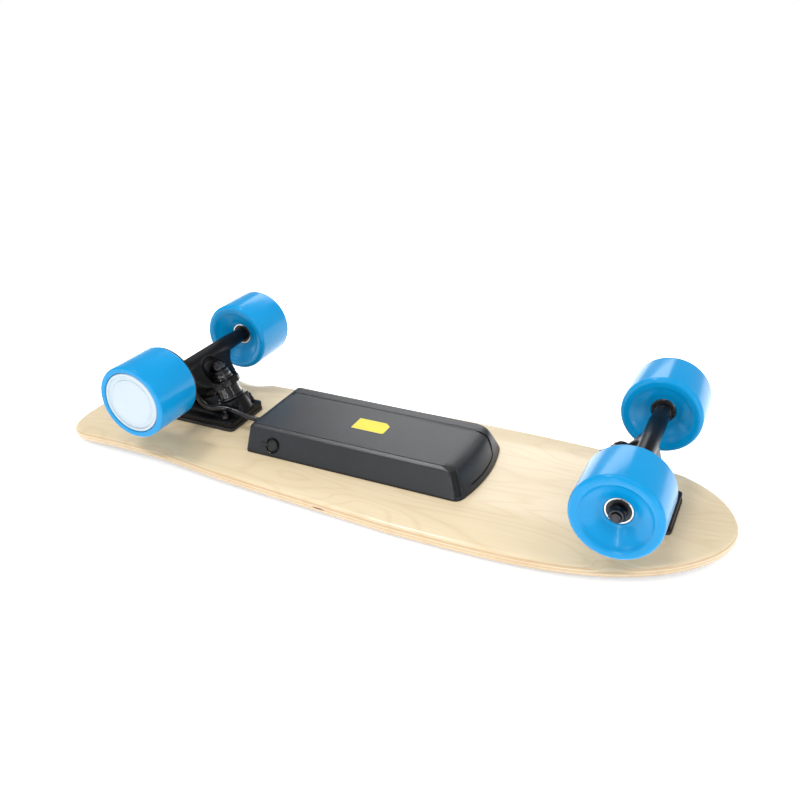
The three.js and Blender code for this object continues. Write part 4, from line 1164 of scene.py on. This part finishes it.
def on_nose(y, height):
    """The point of the box's nose face at one side position and height."""
    columns = np.array(BOX_LEVELS[:-2]).T
    w, nose, bulge, corner = (np.interp(height, columns[5], columns[k]) for k in (0, 2, 3, 4))
    t = (1 + y / (w - corner)) / 2
    x = ((1 - t) ** 2 + t * t) * (nose - bulge + 1) + 2 * t * (1 - t) * (nose + bulge - 2)
    return x, y, DECK + height


def panel_lines():
    """The grooves round the box's sunk panel, then the slot and the foot line of its nose."""
    foot = [on_nose(y, h) for y, h in ((21.7, 8.0), (14, 6.9), (4, 6.3), (-8, 6.0), (-20, 6.0), (-30, 6.2))]
    slot = [(88.0, 29.6, DECK + 24.3)]
    slot += [on_nose(y, h) for y, h in ((29.8, 23.2), (29.7, 21.4), (29.3, 19.0), (27.6, 15.5),
                                        (25.2, 12), (21.7, 8))]
    near = prism([(-38.9, 25), (-38.6, 23.75), (-38.0, 23.7), (-37.6, 25)], -109, 89, "yz")
    far = prism([(27.6, 25), (28.0, 23.9), (28.9, 23.6), (32.0, 23.9), (33.4, 25)], -108, 90, "yz")
    step = prism([(-37.9, 25), (-37.9, 24.2), (28.2, 24.2), (28.2, 25)], -108.6, 84, "yz")
    lines = [shifted(shape, z=DECK) for shape in (near, far, step)]
    widths = np.interp(np.arange(40), (0, 12, 30, 39), (0.9, 2.1, 1.9, 1.1))
    return lines, [swept(smooth_path(slot, 40), widths), swept(smooth_path(foot, 40), 0.8)]


WALL_SLOPE = math.atan2(8.8, 21.4)  # the angle at which a side wall leans in
PORT_HOLE, BUTTON_HOLE, CABLE_HOLE = 7.7, 6.7, 4.8


def wall_frame(side, x=-84.6, height=10.0):
    """The matrix whose +Y points out of a side wall, with its origin on the wall."""
    y = side * (BOX_HALF_WIDTH - height * math.tan(WALL_SLOPE))
    angle = WALL_SLOPE if side > 0 else math.pi - WALL_SLOPE
    return Matrix.Translation((x, y, DECK + height)) @ Matrix.Rotation(angle, 4, "X")


def build_box():
    surface, dark = box_surface()
    made = bpy.data.objects.new("enclosure_shell", mesh_of("enclosure_shell", surface))
    scene.collection.objects.link(made)
    made.data.materials.append(MATERIALS["box_plastic"])
    made.data.materials.append(GROOVE_SHADE)
    # faces deep in the corner groove take the painted groove shade
    for face, shaded_face in zip(made.data.polygons, dark):
        face.material_index = int(shaded_face)
    wall = made.modifiers.new("wall", "SOLIDIFY")
    wall.thickness, wall.offset = 2.0 * MM, -1
    bake_modifiers(made)
    outward(made.data)
    port = moved(rod(PORT_HOLE, -12, 12, 64), wall_frame(-1))
    button = moved(rod(BUTTON_HOLE, -12, 12, 64), wall_frame(1))
    cable = shifted(moved(rod(CABLE_HOLE, -9, 9, 48), Matrix.Rotation(math.pi / 2, 4, "Z")), *CABLE_ENTRY)
    panel, slots = panel_lines()
    cut_away(made, port, button, cable, *panel)
    # the cut faces of the nose slot and foot line get the painted groove shade
    cut_away(made, *slots, cut_slot_index=1)
    ready(made, "box_plastic", ["enclosure_lid"], crease=24)

    points, _ = box_outline(BOX_HALF_WIDTH, BOX_TAIL, BOX_NOSE)
    hole, _ = box_outline(46.0, -106.0, 105.0)
    count = len(points)
    rings = [np.column_stack([ring, np.full(count, z)]) for ring, z in
             ((points, 0.1), (points, 1.5), (hole, 1.5), (hole, 0.1))]
    strip = shifted((np.vstack(rings), ring_faces(4, count, closed=True)), z=DECK)
    piece("gasket_strip", strip, "black_rubber", ["enclosure_gasket"])


def build_label():
    x0, x1, y0, y1 = -22.8, 12.6, -11.0, 11.0
    edge = [(x0, y0), (x1 - 1.5, y0), (x1, y0 + 1.5), (x1, y1 - 5), (x1 - 6, y1), (x0, y1)]
    middle = np.mean(edge, axis=0)
    print_edge = [tuple(middle + (np.array(p) - middle) * np.array((0.935, 0.89))) for p in edge]
    low, high = DECK + 24.05, DECK + 24.3
    count = len(edge)
    vertices = [(*p, low) for p in edge] + [(*p, high) for p in edge] + [(*p, high) for p in print_edge]
    bottom, top = end_faces(3, count)
    faces = [bottom] + ring_faces(3, count) + [top]
    label = object_of("label_film", (np.array(vertices), faces))
    label.data.materials.append(MATERIALS["label"])
    label.data.materials.append(LABEL_EDGE)
    for face in label.data.polygons:
        face.material_index = 0 if face.area > 400 * MM * MM and face.normal.z > 0.5 else 1
    ready(label, "label", ["label"])


def build_port():
    here = wall_frame(-1)
    socket = turned([
        (0, -9.6), (6.6, -9.6), (6.6, -2.4), (7.5, -2.4), (7.5, 0.6), (7.3, 1.1), (6.9, 1.35), (6.5, 1.1),
        (6.15, 0.6), (6.0, -0.6), (5.2, -0.7), (5.2, -8.6), (1.3, -8.6), (1.3, -4.0), (0, -3.6)], 64)
    piece("charge_socket_fine", moved(socket, here), GLOSS_BLACK, ["charge_socket"], crease=28)
    disc = turned([(0, -2), (4.4, -2), (4.7, -1.7), (4.7, -0.45), (5.3, -0.45), (5.5, -0.2), (5.5, 0.5),
                   (5.1, 1.0), (4.6, 1.05), (4.2, 0.75), (3.9, 0.8), (3.6, 1.1), (0, 1.3)], 64)
    strap = prism([(-12.85, -1.3), (-12.4, -1.8), (-4.5, -1.3), (-4.5, 1.3), (-12.4, 1.8), (-12.85, 1.3)],
                  1.1, 1.6, "xz")
    anchor = prism([(-12.4, -1.4), (-9.4, -1.4), (-9.4, 1.4), (-12.4, 1.4)], 0.4, 1.2, "xz")
    piece("charge_cap_fine", moved(together(disc, strap, anchor), here), CAP, ["charge_cap"], crease=28)


def build_button():
    here = wall_frame(1)
    cap = turned([(0, -5), (4, -5), (4, -2.6), (6.1, -2.6), (6.4, -2.3), (6.4, 0.3), (6.1, 0.8), (5.4, 1.15),
                  (4.4, 0.9), (0, 0.6)], 64)
    piece("power_button_fine", moved(cap, here), "black_plastic", ["power_button"], crease=28)


# ------------------------------------------------------------------ assembly


def build_hidden():
    """The pieces sealed inside the box and the motor keep their CAD solids and get their materials."""
    for node in ("battery_pack", "controller_board", "motor_stator"):
        made = frame["nodes"][node]
        made.data.materials.clear()
        made.data.materials.append(MATERIALS[SLOT_OF[node]])


def build_floor():
    half = 6.0
    data = bpy.data.meshes.new("floor")
    corners = [(-half, -half, 0), (half, -half, 0), (half, half, 0), (-half, half, 0)]
    data.from_pydata(corners, [], [(0, 1, 2, 3)])
    floor = bpy.data.objects.new("floor", data)
    floor.location.z = -0.0004
    scene.collection.objects.link(floor)
    p = Paint("studio_paper", Roughness=0.9, Specular_IOR_Level=0.1)
    paper = p.ramp(p.noise(3.0), (0.3, (0.93, 0.93, 0.93)), (0.7, (0.95, 0.95, 0.95)))
    p.tree.links.new(paper, p.shader.inputs["Emission Color"])
    p.shader.inputs["Emission Strength"].default_value = 0.5
    p.colour(paper)
    data.materials.append(p.material)


add_camera()
add_world()
add_light("overhead", (0.1, -0.3, 1.6), (0.1, -0.1, 0), (0.6, 0.3), 2)
add_light("back", (-0.5, 1.72, 1.0), (0, 0, 0), (1.15, 0.6), 7)
add_light("key", (-1.0, -1.5, 1.1), (0, 0, 0), (0.7, 0.7), 2.5)
add_light("bevel", (-0.48, -0.06, 1.45), (0.06, -0.04, 0), (0.26, 0.26), 7.5)
add_light("spark", (0.9, -0.6, 1.5), (0, 0, 0), (0.3, 0.2), 2)
add_light("left_strip", (0.0, -1.05, 0.34), (-0.18, 0, 0.06), (0.04, 0.6), 1.3)
add_light("right_strip", (0.85, -0.36, 0.34), (-0.18, 0, 0.06), (0.04, 0.6), 1.0)
scene.view_settings.view_transform = "Standard"

build_floor()
build_deck()
build_bolts()
build_truck("rear", -49, 70)
build_truck("front", -70, 70)
build_axles()
build_wheel("front_left", FRONT_X, -1)
build_wheel("front_right", FRONT_X, 1)
build_wheel("rear_right", REAR_X, 1)
build_motor_wheel()
build_cable()
build_box()
build_label()
build_port()
build_button()
build_hidden()
